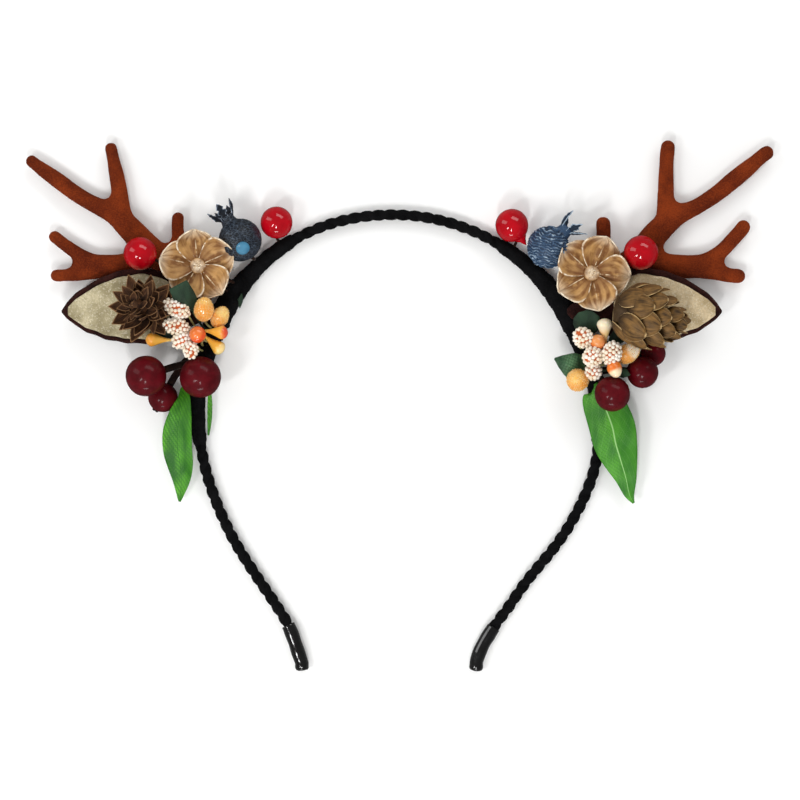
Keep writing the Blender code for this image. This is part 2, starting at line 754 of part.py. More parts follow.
def make_cone(side, name, out, up, lift, direction, length_mm):
    """A cone whose whorls of scales swell out of its body in turn."""
    height = EAR_TOP + CLEARANCE + CONE_DIAMETER / 2 * lift
    base = from_anchor(side, out * MM, up * MM, height)
    axis = Vector(direction).normalized()
    length = length_mm * MM
    across, depth = two_directions(axis)
    sides = CONE_SCALES * 2
    rings = [[base]]
    for whorl in range(CONE_WHORLS):
        for part, swell in CONE_WHORL_ROWS:
            share = (whorl + part) / CONE_WHORLS
            (radius,) = share_at(CONE_ROWS, share)
            ring = []
            for index in range(sides):
                turn = 2 * math.pi * index / sides
                tip = (index + whorl) % 2
                reach = radius * CONE_DIAMETER / 2
                reach -= CONE_SCALE_DEPTH * radius * (1 - swell * tip)
                shift = length * (share + CONE_SCALE_LEAN * swell * tip)
                ring.append(
                    base
                    + axis * shift
                    + across * reach * math.cos(turn)
                    + depth * reach * math.sin(turn)
                )
            rings.append(ring)
    rings.append([base + axis * length * CONE_TIP])
    return add_object(name, "cone", loft(rings))


def flower_ring(centre, reach, lift, spin, shown):
    """One ring of the pod's lobed surface, which faces the front."""
    sides = FLOWER_PETALS * PETAL_SIDES
    across, depth = two_directions(FRONT)
    ring = []
    for index in range(sides):
        turn = 2 * math.pi * index / sides
        lobe = abs(math.sin(FLOWER_PETALS * turn / 2)) ** PETAL_BLUNTNESS
        radius = reach * (1 - shown * (1 - FLOWER_NOTCH) * (1 - lobe))
        ring.append(
            centre
            + FRONT * lift
            + across * radius * math.cos(turn + spin)
            + depth * radius * math.sin(turn + spin)
        )
    return ring


def make_flower(side, name, bearing, lean, out, up, height, spin):
    """A lobed pod, cupped to the front, on a wire from the wrap."""
    centre = from_anchor(side, out * MM, up * MM, height * MM)
    rings = []
    for reach, lift, shown in FLOWER_ROWS:
        if reach:
            radius = reach * FLOWER_DIAMETER / 2
            rings.append(
                flower_ring(centre, radius, lift * FLOWER_CUP, math.radians(spin), shown)
            )
        else:
            rings.append([centre + FRONT * lift * FLOWER_CUP])
    flower = add_object(name, "dried pod", loft(rings))
    seat, facing = wrap_point(side, bearing, lean)
    wire = wire_body(seat, facing, centre + FRONT * FLOWER_NECK * FLOWER_CUP)
    return union(flower, [add_object(name + "_wire", "dried pod", wire)])


def wire_body(seat, facing, neck):
    """A wire that leaves the wrap square to it and bends to its neck."""
    start = seat + facing * CLEARANCE
    knee = seat + facing * FLOWER_KNEE
    last = (neck - knee).normalized()
    radius = STEM_DIAMETER / 2
    rings = []
    for point, axis in ((start, facing), (knee, (facing + last).normalized()), (neck, last)):
        across, depth = two_directions(axis)
        ring = ring_at(point, across, depth, radius, radius, ROUND_SIDES)
        rings.append(matched(ring, two_directions(last)[0], point))
    return loft(rings)


def stemmed(name, material, profile, seat, facing, rise, middle, length, width):
    """A round solid on its wire, pointing away from the wire's knee."""
    knee = seat + facing * rise
    axis = (middle - knee).normalized()
    start = middle - axis * length / 2
    across, depth = two_directions(axis)
    radius = STEM_DIAMETER / 2
    foot = seat + facing * CLEARANCE
    bend = ((knee - foot).normalized() + axis).normalized()
    rings = []
    for point, along in ((foot, facing), (knee, bend)):
        wide, deep = two_directions(along)
        rings.append(matched(ring_at(point, wide, deep, radius, radius, ROUND_SIDES), across, point))
    for share, reach in profile:
        size = max(reach * width / 2, radius)
        point = start + axis * share * length
        ring = ring_at(point, across, depth, size, size, ROUND_SIDES)
        rings.append(matched(ring, across, point))
    rings.append([start + axis * length])
    return add_object(name, material, loft(rings))


def matched(ring, across, centre):
    """Turn a ring's list of points so that it starts nearest one direction."""
    best = max(range(len(ring)), key=lambda index: (ring[index] - centre).dot(across))
    return ring[best:] + ring[:best]


def make_trimmings(side, prefix, rows, scale):
    for row in rows:
        item = dict(zip(TRIMMING_COLUMNS, row))
        seat, facing = wrap_point(side, item["bearing"], item["lean"])
        middle = from_anchor(side, item["out"] * MM, item["up"] * MM, item["height"] * MM)
        unit = scale[item["material"]] if item["material"] in scale else MM
        stemmed(
            prefix + item["name"],
            item["material"],
            item["profile"],
            seat,
            facing,
            item["knee"] * MM,
            middle,
            item["length"] * unit,
            item["width"] * unit,
        )


def make_pomegranate(side, name, bearing, lean, out, up, height, direction):
    """A round fruit with a flared crown of sepals, its stalk on the wrap."""
    middle = from_anchor(side, out * MM, up * MM, height * MM)
    crown = Vector(direction).normalized()
    seat, facing = wrap_point(side, bearing, lean)
    across, depth = two_directions(crown)
    radius = POMEGRANATE_DIAMETER / 2
    start = seat + facing * CLEARANCE
    sides = SEPALS * 2
    rings = []
    stalk = (middle - crown * radius - start).normalized()
    wide, deep = two_directions(stalk)
    thin = STEM_DIAMETER / 2
    rings.append(matched(ring_at(start, wide, deep, thin, thin, sides), across, start))
    for angle in POMEGRANATE_TURNS:
        turn = math.radians(angle)
        size = radius * math.cos(turn)
        point = middle + crown * radius * math.sin(turn)
        rings.append(matched(ring_at(point, across, depth, size, size, sides), across, point))
    for flare, lift, dip in CROWN_ROWS:
        ring = []
        for index in range(sides):
            turn = 2 * math.pi * index / sides
            reach = radius * flare
            rise = radius * CROWN_SEAT + SEPAL_LENGTH * (lift - dip * (index % 2))
            ring.append(
                middle
                + crown * rise
                + across * reach * math.cos(turn)
                + depth * reach * math.sin(turn)
            )
        rings.append(matched(ring, across, middle + crown * radius))
    rings.append([middle + crown * (radius * CROWN_SEAT + SEPAL_LENGTH * CROWN_FLOOR)])
    return add_object(name, "blue fruit", loft(rings))


def blade_rings(points, halves):
    """Rings of a thin leaf folded a little along its middle line."""
    rings = []
    thin = LEAF_THICKNESS / 2
    for index, point in enumerate(points):
        before = points[max(index - 1, 0)]
        after = points[min(index + 1, len(points) - 1)]
        along = (after - before).normalized()
        across = along.cross(FRONT).normalized()
        up = across.cross(along)
        half = halves[index]
        fold = half * BLADE_FOLD
        ring = [point + across * half * x + up * (thin + fold * z) for x, z in BLADE_ROWS]
        ring += [point + across * half * x + up * (fold * z - thin) for x, z in BLADE_ROWS[::-1]]
        rings.append(ring)
    return rings


def make_long_leaf(side, name, rows, seat_bearing, seat_lean):
    """A long leaf that hangs from the wrap, through the rows of its middle line."""
    seat, facing = wrap_point(side, seat_bearing, seat_lean)
    points = [seat + facing * (CLEARANCE + LEAF_THICKNESS)]
    halves = [LEAF_THICKNESS / 2]
    for out, up, height, width in rows:
        points.append(from_anchor(side, out * MM, up * MM, height * MM))
        halves.append(width * LONG_LEAF_WIDTH / 2)
    return add_object(name, "bright leaf", loft(blade_rings(points, halves)))


def make_leaf(side, name, bearing, lean, rise, out, up, height, width, blade):
    """A small leaf on its own wire."""
    seat, facing = wrap_point(side, bearing, lean)
    tip = from_anchor(side, out * MM, up * MM, height * MM)
    knee = seat + facing * rise * MM
    points = [seat + facing * (CLEARANCE + LEAF_THICKNESS / 2), knee]
    halves = [STEM_DIAMETER / 2, STEM_DIAMETER / 2]
    for part, reach in LEAF_ROWS:
        points.append(knee.lerp(tip, blade + (1 - blade) * part))
        halves.append(reach * width * MM / 2)
    return add_object(name, "dark leaf", loft(blade_rings(points, halves)))


def build_side(side, prefix, tines, trimmings, berries, leaves, ear_root):
    make_wrap(side, prefix + "wrap")
    make_antler(side, prefix + "antler", tines)
    make_ear(side, prefix, ear_root)
    make_trimmings(side, prefix, trimmings, {})
    sizes = {"red gloss": RED_BERRY, "burgundy": BURGUNDY_BERRY}
    make_trimmings(side, prefix, berries, sizes)
    for row in leaves:
        make_leaf(side, prefix + row[0], *row[1:])


def main():
    clear_scene()
    make_band()
    make_cap("left_end_cap", True)
    make_cap("right_end_cap", False)
    build_side(
        -1, "left_", LEFT_TINES, LEFT_TRIMMINGS, LEFT_BERRIES, LEFT_LEAVES, LEFT_EAR_ROOT
    )
    build_side(
        1, "right_", RIGHT_TINES, RIGHT_TRIMMINGS, RIGHT_BERRIES, RIGHT_LEAVES, RIGHT_EAR_ROOT
    )
    for row in CONES:
        make_cone(*row)
    for row in FLOWERS:
        make_flower(*row)
    for row in POMEGRANATES:
        make_pomegranate(*row)
    for row in LONG_LEAVES:
        make_long_leaf(*row)


main()
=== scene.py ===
"""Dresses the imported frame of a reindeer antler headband.

The headband lies on its back on a pale floor. A velvet cord carries, on each side, a
flocked antler, a felt ear and a bunch of dried pods, cones, berries, buds and leaves.
Lengths are in metres. +X runs to the right of the front view, +Y towards the crown of
the arch and +Z out of the front. Places on a side are given from its anchor: the point
of the arch's circle at ANCHOR_BEARING, with "out" away from the middle of the headband
and "up" towards the crown.
"""

import logging
import math
from dataclasses import dataclass, field, replace
from enum import Enum
from functools import cache
from itertools import accumulate

import bmesh
import bpy
import numpy as np
from mathutils import Matrix, Vector, noise


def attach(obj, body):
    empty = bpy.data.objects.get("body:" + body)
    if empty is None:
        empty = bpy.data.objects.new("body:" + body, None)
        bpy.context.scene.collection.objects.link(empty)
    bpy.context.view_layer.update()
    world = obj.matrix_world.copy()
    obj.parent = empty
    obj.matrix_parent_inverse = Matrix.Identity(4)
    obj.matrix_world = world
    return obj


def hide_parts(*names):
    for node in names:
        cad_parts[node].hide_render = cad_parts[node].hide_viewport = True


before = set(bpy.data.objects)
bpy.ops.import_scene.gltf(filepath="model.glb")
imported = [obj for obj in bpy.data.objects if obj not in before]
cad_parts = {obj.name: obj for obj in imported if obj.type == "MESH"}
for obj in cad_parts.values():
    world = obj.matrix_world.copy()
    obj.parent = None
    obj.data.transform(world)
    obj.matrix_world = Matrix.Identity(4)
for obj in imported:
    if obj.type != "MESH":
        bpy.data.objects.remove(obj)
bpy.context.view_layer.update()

log = logging.getLogger("headband")

MM = 0.001
EAST, NORTH, FRONT = Vector((1.0, 0.0, 0.0)), Vector((0.0, 1.0, 0.0)), Vector((0.0, 0.0, 1.0))
BODY = "root"
ANCHOR_BEARING = 60.0
GOLDEN_TURN = math.radians(137.508)
FLOAT, VECTOR, COLOUR = "NodeSocketFloat", "NodeSocketVector", "NodeSocketColor"
WHOLE, SHAPE = "NodeSocketInt", "NodeSocketGeometry"
THING, DRESS = "NodeSocketObject", "NodeSocketMaterial"

Socket = bpy.types.NodeSocket
Object = bpy.types.Object
Ring = list[Vector]


class Side(Enum):
    """The two sides of the headband, as seen from the front."""

    LEFT = -1
    RIGHT = 1

    @property
    def prefix(self) -> str:
        """Start of the names of the frame's nodes on this side."""
        return self.name.lower() + "_"


class LeafCut(Enum):
    """How a small cloth leaf was cut out, as rows of length share and width share."""

    SQUARE = ((0.0, 0.30), (0.12, 0.74), (0.30, 0.96), (0.60, 1.0), (0.90, 0.94), (1.0, 0.90))
    ROUND = ((0.0, 0.22), (0.15, 0.62), (0.38, 0.94), (0.62, 1.0), (0.86, 0.74), (1.0, 0.20))
    TAPERED = ((0.0, 0.5), (0.15, 0.9), (0.35, 1.0), (0.55, 0.86), (0.8, 0.46), (1.0, 0.05))
    POINTED = ((0.0, 0.20), (0.18, 0.64), (0.40, 0.96), (0.62, 0.94), (0.84, 0.56), (1.0, 0.05))


class Grain(Enum):
    """Kinds of small grains, with their sizes along their own axes as shares."""

    BEAD = (1.0, 1.0, 1.0)
    SUGAR = (1.0, 0.8, 0.6)
    CRUMB = (0.6, 0.6, 1.3)


def linear(code: str) -> tuple[float, float, float, float]:
    """Turns a screen colour into a linear one.

    Args:
        code: six hexadecimal digits, red, green and blue.

    Returns:
        Red, green, blue and an alpha of one.
    """
    parts = [int(code[start : start + 2], 16) / 255 for start in (0, 2, 4)]
    red, green, blue = (
        part / 12.92 if part <= 0.04045 else ((part + 0.055) / 1.055) ** 2.4 for part in parts
    )
    return (red, green, blue, 1.0)


def smooth_rows(rows: tuple, samples: int) -> np.ndarray:
    """Reads a short table at even steps, through a smooth curve of its rows.

    Args:
        rows: the table.
        samples: how many rows to give back.

    Returns:
        The smoothed table.
    """
    table = np.array(rows, dtype=float)
    slopes = np.gradient(table, axis=0)
    steps = np.linspace(0, len(table) - 1, samples)
    low = np.minimum(steps.astype(int), len(table) - 2)
    part = (steps - low)[:, None]
    square, cube = part**2, part**3
    return (
        (2 * cube - 3 * square + 1) * table[low]
        + (cube - 2 * square + part) * slopes[low]
        + (3 * square - 2 * cube) * table[low + 1]
        + (cube - square) * slopes[low + 1]
    )


def share_of(rows: tuple, share: float) -> list[float]:
    """Reads the other columns of a table whose first column is a share."""
    table = np.array(rows, dtype=float)
    return [float(np.interp(share, table[:, 0], column)) for column in table[:, 1:].T]


def two_directions(axis: Vector) -> tuple[Vector, Vector]:
    """Finds two unit directions square to an axis.

    Args:
        axis: the axis.

    Returns:
        The two directions, the second as near +Z as it can be.
    """
    across = axis.cross(FRONT)
    if across.length < 0.05:
        across = axis.cross(NORTH)
    across.normalize()
    return across, across.cross(axis).normalized()


def rough(point: Vector, size: float, seed: float = 0.0) -> float:
    """Smooth noise from -1 to 1 whose bumps are about one size apart."""
    return noise.noise(Vector(point) / size + Vector((seed, -seed, 2 * seed)))


def oval(centre: Vector, square: tuple, wide: float, deep: float, sides: int) -> Ring:
    """An oval ring of points in the plane of two directions, from its half sizes."""
    turns = [2 * math.pi * index / sides for index in range(sides)]
    return [centre + square[0] * wide * math.cos(t) + square[1] * deep * math.sin(t) for t in turns]


def disc(centre: Vector, square: tuple[Vector, Vector], radius: float, sides: int) -> Ring:
    """A round ring of points in the plane of two directions."""
    return oval(centre, square, radius, radius, sides)


def bend(foot: Vector, knee: Vector, end: Vector, count: int, reach: float = 1.0) -> Ring:
    """Points of one smooth bend from a foot past a knee to an end."""
    shares = np.linspace(0, 1, count)
    return [foot.lerp(knee, s).lerp(knee.lerp(end, s * reach), s) for s in shares]


def grid_array(grid: list[Ring]) -> np.ndarray:
    """Rows of points as one array."""
    return np.array([[tuple(point) for point in row] for row in grid])


def placed(name: str, data: bpy.types.ID) -> Object:
    """Puts a new object in the scene, at the origin.

    Args:
        name: its name.
        data: its data.

    Returns:
        The object.
    """
    made = bpy.data.objects.new(name, data)
    bpy.context.scene.collection.objects.link(made)
    return made


# ---- the arch that everything is placed from


@dataclass
class Arch:
    """Centreline of the hair band.

    Attributes:
        radius: radius of the arch's circle.
        centre: its middle.
        height: height of the centreline above the floor.
        samples: number of points that it is worked out at.
        rows: bearing from the crown in degrees, distance from the middle as a share of
            the radius.
    """

    radius: float = 63.2 * MM
    centre: tuple[float, float] = (-0.9 * MM, -3.7 * MM)
    height: float = 2.2 * MM
    samples: int = 1200
    rows: tuple = (
        (-159.1, 1.335), (-157.8, 1.278), (-150.8, 1.140), (-138.0, 1.046), (-119.9, 0.995),
        (-103.3, 0.982), (-89.2, 0.990), (-59.0, 1.010), (-31.0, 1.018), (0.0, 1.002),
        (31.0, 0.990), (63.0, 0.982), (90.0, 0.990), (104.5, 1.000), (121.9, 0.997),
        (139.8, 1.017), (151.7, 1.097), (158.2, 1.173), (161.7, 1.247), (162.9, 1.307),
    )

    def __post_init__(self) -> None:
        """Works out points, lengths and bearings once."""
        polar = smooth_rows(self.rows, self.samples)
        self.turns = polar[:, 0]
        turn, reach = np.radians(self.turns), polar[:, 1] * self.radius
        self.x = self.centre[0] + reach * np.sin(turn)
        self.y = self.centre[1] + reach * np.cos(turn)
        steps = np.hypot(np.diff(self.x), np.diff(self.y))
        self.lengths = np.concatenate([[0.0], np.cumsum(steps)])
        self.length = float(self.lengths[-1])

    def at(self, length: float) -> tuple[Vector, Vector]:
        """Follows the band.

        Args:
            length: length along the band.

        Returns:
            The point there and the outward direction.
        """
        x = np.interp(length, self.lengths, self.x)
        y = np.interp(length, self.lengths, self.y)
        near = int(np.clip(np.searchsorted(self.lengths, length), 1, self.samples - 1))
        step = Vector((self.x[near] - self.x[near - 1], self.y[near] - self.y[near - 1], 0))
        return Vector((x, y, self.height)), FRONT.cross(step.normalized())

    def length_at(self, bearing: float) -> float:
        """Length along the band at a bearing from the crown."""
        return float(np.interp(bearing, self.turns, self.lengths))

    def place(self, side: Side, out: float, up: float, height: float) -> Vector:
        """Finds a place from a side's anchor.

        Args:
            side: the side.
            out: millimetres out from the anchor.
            up: millimetres up from it.
            height: millimetres above the floor.

        Returns:
            The place.
        """
        turn = math.radians(ANCHOR_BEARING)
        x = self.centre[0] + side.value * (self.radius * math.sin(turn) + out * MM)
        y = self.centre[1] + self.radius * math.cos(turn) + up * MM
        return Vector((x, y, height * MM))


ARCH = Arch()


# ---- node trees


@dataclass
class Graph:
    """A node tree in the making, for a material, a group or a geometry recipe."""

    tree: bpy.types.NodeTree

    def add(self, kind: str, inputs: dict | None = None, **settings: object) -> bpy.types.Node:
        """Adds a node.

        Args:
            kind: Blender's name of the node's type.
            inputs: socket name or number, and the value or socket that feeds it.
            settings: the node's own settings.

        Returns:
            The node.
        """
        node = self.tree.nodes.new(kind)
        for key, value in settings.items():
            setattr(node, key, value)
        for key, value in (inputs or {}).items():
            self.feed(node.inputs[key], value)
        return node

    def feed(self, socket: Socket, value: object) -> None:
        """Links a socket, or sets its own value.

        Args:
            socket: the socket.
            value: what feeds it.
        """
        if isinstance(value, Socket):
            self.tree.links.new(value, socket)
        else:
            socket.default_value = value

    def math(self, operation: str, *values: object) -> Socket:
        """A number from one to three others."""
        return self.add("ShaderNodeMath", dict(enumerate(values)), operation=operation).outputs[0]

    def times(self, first: object, *others: object) -> Socket:
        """Multiplies numbers.

        Args:
            first: the first number.
            others: the others, if any.

        Returns:
            Their product.
        """
        for other in others:
            first = self.math("MULTIPLY", first, other)
        return first

    def vector(self, operation: str, *values: object) -> Socket:
        """A vector from one or two others."""
        inputs = dict(enumerate(values))
        return self.add("ShaderNodeVectorMath", inputs, operation=operation).outputs[0]

    def scale(self, vector: Socket, amount: object) -> Socket:
        """A vector times a number."""
        inputs = {0: vector, "Scale": amount}
        return self.add("ShaderNodeVectorMath", inputs, operation="SCALE").outputs[0]

    def cloud(self, vector: Socket, scale: object, detail: float) -> Socket:
        """Noise with a number of blotches a metre."""
        inputs = {"Vector": vector, "Scale": scale, "Detail": detail}
        return self.add("ShaderNodeTexNoise", inputs).outputs["Fac"]

    def noise(self, vector: Socket, size: float, detail: float = 3.0) -> Socket:
        """Noise whose blotches are about one size across."""
        return self.cloud(vector, 1 / size, detail)

    def between(self, value: object, low: object, high: object) -> Socket:
        """0 below low, 1 above high and smooth between, or the reverse where low is higher."""
        inputs = {"Value": value, "From Min": low, "From Max": high}
        return self.add("ShaderNodeMapRange", inputs, interpolation_type="SMOOTHSTEP").outputs[0]

    def mix(self, share: object, first: object, second: object) -> Socket:
        """A colour between two colours."""
        inputs = {0: share, 6: first, 7: second}
        return self.add("ShaderNodeMix", inputs, data_type="RGBA").outputs[2]

    def tint(self, colour: object, code: str, *shares: object) -> Socket:
        """A colour moved towards a screen colour by the product of some shares."""
        return self.mix(self.times(*shares), colour, linear(code))

    def parts(self, vector: Socket) -> tuple:
        """The three parts of a vector."""
        return tuple(self.add("ShaderNodeSeparateXYZ", {0: vector}).outputs)

    def joined(self, x: object = 0.0, y: object = 0.0, z: object = 0.0) -> Socket:
        """A vector from three numbers."""
        return self.add("ShaderNodeCombineXYZ", {"X": x, "Y": y, "Z": z}).outputs[0]

    def bump(self, height: object, depth: float) -> Socket:
        """A normal from a height between 0 and 1 and the depth that it stands for."""
        inputs = {"Strength": 1.0, "Distance": depth, "Height": height}
        return self.add("ShaderNodeBump", inputs).outputs["Normal"]

    def group(self, tree: bpy.types.NodeTree, **inputs: object) -> bpy.types.bpy_prop_collection:
        """The outputs of a shader node group with its own values."""
        return self.add("ShaderNodeGroup", inputs, node_tree=tree).outputs

    def patches(self, place: Socket, size: float, contrast: float, dark: str, light: str) -> Socket:
        """Soft blotches of two screen colours."""
        values = {"Dark": linear(dark), "Light": linear(light), "Contrast": contrast}
        return self.group(Effects.mottle(), Vector=place, Scale=1 / size, **values)["Colour"]

    def on_object(self) -> Socket:
        """Object coordinates."""
        return self.add("ShaderNodeTexCoord").outputs["Object"]

    def on_surface(self, layer: str) -> Socket:
        """One of the piece's own UV maps: share or cloth."""
        return self.add("ShaderNodeUVMap", uv_map=layer).outputs["UV"]

    def close(self, **outputs: Socket) -> bpy.types.NodeTree:
        """Ends a shader node group.

        Args:
            outputs: what each output puts out.

        Returns:
            The group's tree.
        """
        for label, source in outputs.items():
            kind = COLOUR if source.type == "RGBA" else FLOAT
            self.tree.interface.new_socket(label, in_out="OUTPUT", socket_type=kind)
        self.add("NodeGroupOutput", outputs)
        return self.tree


def new_tree(name: str, kind: str, **inputs: object) -> tuple[Graph, bpy.types.Node, dict]:
    """Starts a node tree with named inputs.

    Args:
        name: its name.
        kind: Blender's name of the tree's type.
        inputs: for each input its socket type, or the usual value of a number. An
            underscore stands for a space.

    Returns:
        The graph, its input node and the identifiers of the inputs.
    """
    tree = bpy.data.node_groups.new(name, kind)
    identifiers = {}
    for label, usual in inputs.items():
        number = {int: WHOLE, float: FLOAT}.get(type(usual))
        socket = tree.interface.new_socket(
            label.replace("_", " "), in_out="INPUT", socket_type=number or usual
        )
        if number:
            socket.default_value = usual
        identifiers[label] = socket.identifier
    graph = Graph(tree)
    return graph, graph.add("NodeGroupInput"), identifiers


class Effects:
    """Shader node groups that more than one finish uses, each built once."""

    @staticmethod
    @cache
    def mottle() -> bpy.types.NodeTree:
        """Soft blotches between two colours.

        Returns:
            The group.
        """
        colours = {"Dark": COLOUR, "Light": COLOUR}
        graph, start, _ = new_tree(
            "Mottle", "ShaderNodeTree", Vector=VECTOR, Scale=500.0, Contrast=0.2, **colours
        )
        vector, scale, contrast, dark, light = start.outputs[:5]
        low, high = graph.math("SUBTRACT", 0.5, contrast), graph.math("ADD", 0.5, contrast)
        mask = graph.between(graph.cloud(vector, scale, 4.0), low, high)
        return graph.close(Colour=graph.mix(mask, dark, light), Mask=mask)

    @staticmethod
    @cache
    def nap() -> bpy.types.NodeTree:
        """Short pile: fine tufts inside broader strokes where it lies over.

        Returns:
            The group.
        """
        inputs = {"Vector": VECTOR, "Tuft": 3000.0, "Stroke": 250.0}
        graph, start, _ = new_tree("Nap", "ShaderNodeTree", **inputs)
        vector, tuft, stroke = start.outputs[:3]
        strokes = graph.times(graph.cloud(vector, stroke, 3.0), 0.3)
        total = graph.math("MULTIPLY_ADD", graph.cloud(vector, tuft, 2.0), 0.7, strokes)
        return graph.close(Height=total, Mask=graph.between(total, 0.40, 0.60))

    @staticmethod
    @cache
    def weave() -> bpy.types.NodeTree:
        """Plain weave over a cloth's own map, with threads that go over and under.

        Returns:
            The group.
        """
        graph, start, _ = new_tree("Weave", "ShaderNodeTree", Vector=VECTOR, Threads=2500.0)
        vector, threads = start.outputs[:2]
        ways = graph.parts(graph.scale(vector, threads))[:2]
        warp, weft = (
            graph.math("ABSOLUTE", graph.math("SINE", graph.times(way, math.pi))) for way in ways
        )
        cell = graph.math("ADD", *(graph.math("FLOOR", way) for way in ways))
        over = graph.math("PINGPONG", cell, 1.0)
        rest = graph.times(weft, graph.math("SUBTRACT", 1.0, over))
        return graph.close(Height=graph.math("MULTIPLY_ADD", warp, over, rest), Mask=over)

    @staticmethod
    @cache
    def rim() -> bpy.types.NodeTree:
        """Masks of a blade's own map: its rim, and a line down its middle.

        Returns:
            The group.
        """
        graph, start, _ = new_tree("Rim", "ShaderNodeTree", Vector=VECTOR, Rim=0.1, Line=0.05)
        vector, width, line_width = start.outputs[:3]
        x, y, _ = graph.parts(vector)
        across = graph.math("ABSOLUTE", graph.math("MULTIPLY_ADD", x, 2.0, -1.0))
        inner = graph.math("SUBTRACT", 1.0, width)
        past = graph.math("SUBTRACT", graph.math("MAXIMUM", across, y), inner)
        rim = graph.between(graph.math("DIVIDE", past, width), 0.0, 0.8)
        line = graph.math("SUBTRACT", 1.0, graph.math("DIVIDE", across, line_width))
        return graph.close(Rim=rim, Line=graph.between(line, 0.0, 0.7), Along=y, Across=across)


# ---- finishes


@dataclass(frozen=True)
class Finish:
    """A finish that a piece is dressed with.

    Attributes:
        name: the material's name.
    """

    name: str

    def material(self) -> bpy.types.Material:
        """Builds the material once.

        Returns:
            The material.
        """
        label = self.name + "_look"
        material = bpy.data.materials.get(label)
        if not material:
            material = bpy.data.materials.new(label)
            material.use_nodes = True
            shader = material.node_tree.nodes["Principled BSDF"]
            graph = Graph(material.node_tree)
            for key, value in self.sockets(graph).items():
                graph.feed(shader.inputs[key], value)
        return material

    def sockets(self, graph: Graph) -> dict[str, object]:
        """What feeds the shader's own sockets, by their names."""
        raise NotImplementedError


@dataclass(frozen=True)
class Pile(Finish):
    """Velvet, flock or felt.

    Attributes:
        dark: colour between the tufts.
        light: colour of the tufts.
        tuft: size of a tuft.
        stroke: size of the patches where the pile lies over.
        depth: depth of the pile.
        sheen: strength of the sheen.
        glow: colour of the sheen.
    """

    dark: str
    light: str
    tuft: float = 0.3 * MM
    stroke: float = 4.0 * MM
    depth: float = 0.12 * MM
    sheen: float = 0.5
    glow: str = "ffffff"

    def sockets(self, graph: Graph) -> dict[str, object]:
        """Mixes pile and patches under a sheen.

        Args:
            graph: the material's graph.

        Returns:
            What feeds the shader.
        """
        place = graph.on_object()
        pile = graph.group(Effects.nap(), Vector=place, Tuft=1 / self.tuft, Stroke=1 / self.stroke)
        patches = graph.patches(place, self.stroke, 0.16, self.dark, self.light)
        tufts = graph.tint(linear(self.dark), self.light, pile["Mask"])
        return {
            "Base Color": graph.mix(0.55, patches, tufts),
            "Normal": graph.bump(pile["Height"], self.depth),
            "Roughness": 0.95,
            "Specular IOR Level": 0.15,
            "Sheen Weight": self.sheen,
            "Sheen Roughness": 0.35,
            "Sheen Tint": linear(self.glow),
        }


@dataclass(frozen=True)
class Lacquer(Finish):
    """A smooth coated finish.

    Attributes:
        dark: the darker colour of its soft blotches.
        light: the lighter one.
        roughness: roughness of the colour below the coat.
        coat: strength of the coat.
        coat_roughness: roughness of the coat.
        dimple: depth of the fine orange peel.
        blotch: size of the blotches.
        specular: how much the colour below the coat shines.
    """

    dark: str
    light: str
    roughness: float = 0.3
    coat: float = 1.0
    coat_roughness: float = 0.03
    dimple: float = 0.02 * MM
    blotch: float = 3.0 * MM
    specular: float = 0.5

    def sockets(self, graph: Graph) -> dict[str, object]:
        """Puts blotches and peel under a coat.

        Args:
            graph: the material's graph.

        Returns:
            What feeds the shader.
        """
        place = graph.on_object()
        wear = graph.between(graph.noise(place, self.blotch / 4), 0.2, 0.9)
        return {
            "Base Color": graph.patches(place, self.blotch, 0.25, self.dark, self.light),
            "Roughness": graph.math("MULTIPLY_ADD", wear, 0.12, self.roughness),
            "Normal": graph.bump(graph.noise(place, self.blotch / 3, 2.0), self.dimple),
            "Specular IOR Level": self.specular,
            "Coat Weight": self.coat,
            "Coat Roughness": self.coat_roughness,
        }


@dataclass(frozen=True)
class Tinted(Finish):
    """A lacquered bud whose colour changes from its stem to its tip.

    Attributes:
        stem: colour by the stem.
        middle: colour of the body.
        tip: colour of the tip.
        slot: the frame's slot for it.
        turn: where the tip's colour starts, as a share of the length.
        sugar: how strongly clear grains lighten it.
    """

    stem: str
    middle: str
    tip: str
    slot: str
    turn: float = 0.6
    sugar: float = 0.0

    def sockets(self, graph: Graph) -> dict[str, object]:
        """Changes the colour along the bud, with clear grains under the coat.

        Args:
            graph: the material's graph.

        Returns:
            What feeds the shader.
        """
        _, along, _ = graph.parts(graph.on_surface("share"))
        place = graph.on_object()
        drift = graph.math("MULTIPLY_ADD", graph.noise(place, 1.6 * MM), 0.24, -0.12)
        share = graph.math("ADD", along, drift)
        body = graph.tint(linear(self.stem), self.middle, graph.between(share, 0.06, 0.30))
        body = graph.tint(body, self.tip, graph.between(share, self.turn, self.turn + 0.22))
        grains = graph.add("ShaderNodeTexVoronoi", {"Vector": place, "Scale": 1 / (0.55 * MM)})
        light = graph.times(graph.between(grains.outputs["Distance"], 0.42, 0.10), self.sugar)
        height = graph.math("ADD", light, graph.times(graph.noise(place, 0.8 * MM), 0.3))
        return {
            "Base Color": graph.tint(body, "fff2d0", light),
            "Normal": graph.bump(height, 0.08 * MM),
            "Roughness": 0.32,
            "Coat Weight": 0.8,
            "Coat Roughness": 0.08,
            "Subsurface Weight": 0.15,
            "Subsurface Radius": (1.0, 0.5, 0.2),
            "Subsurface Scale": 0.6 * MM,
        }


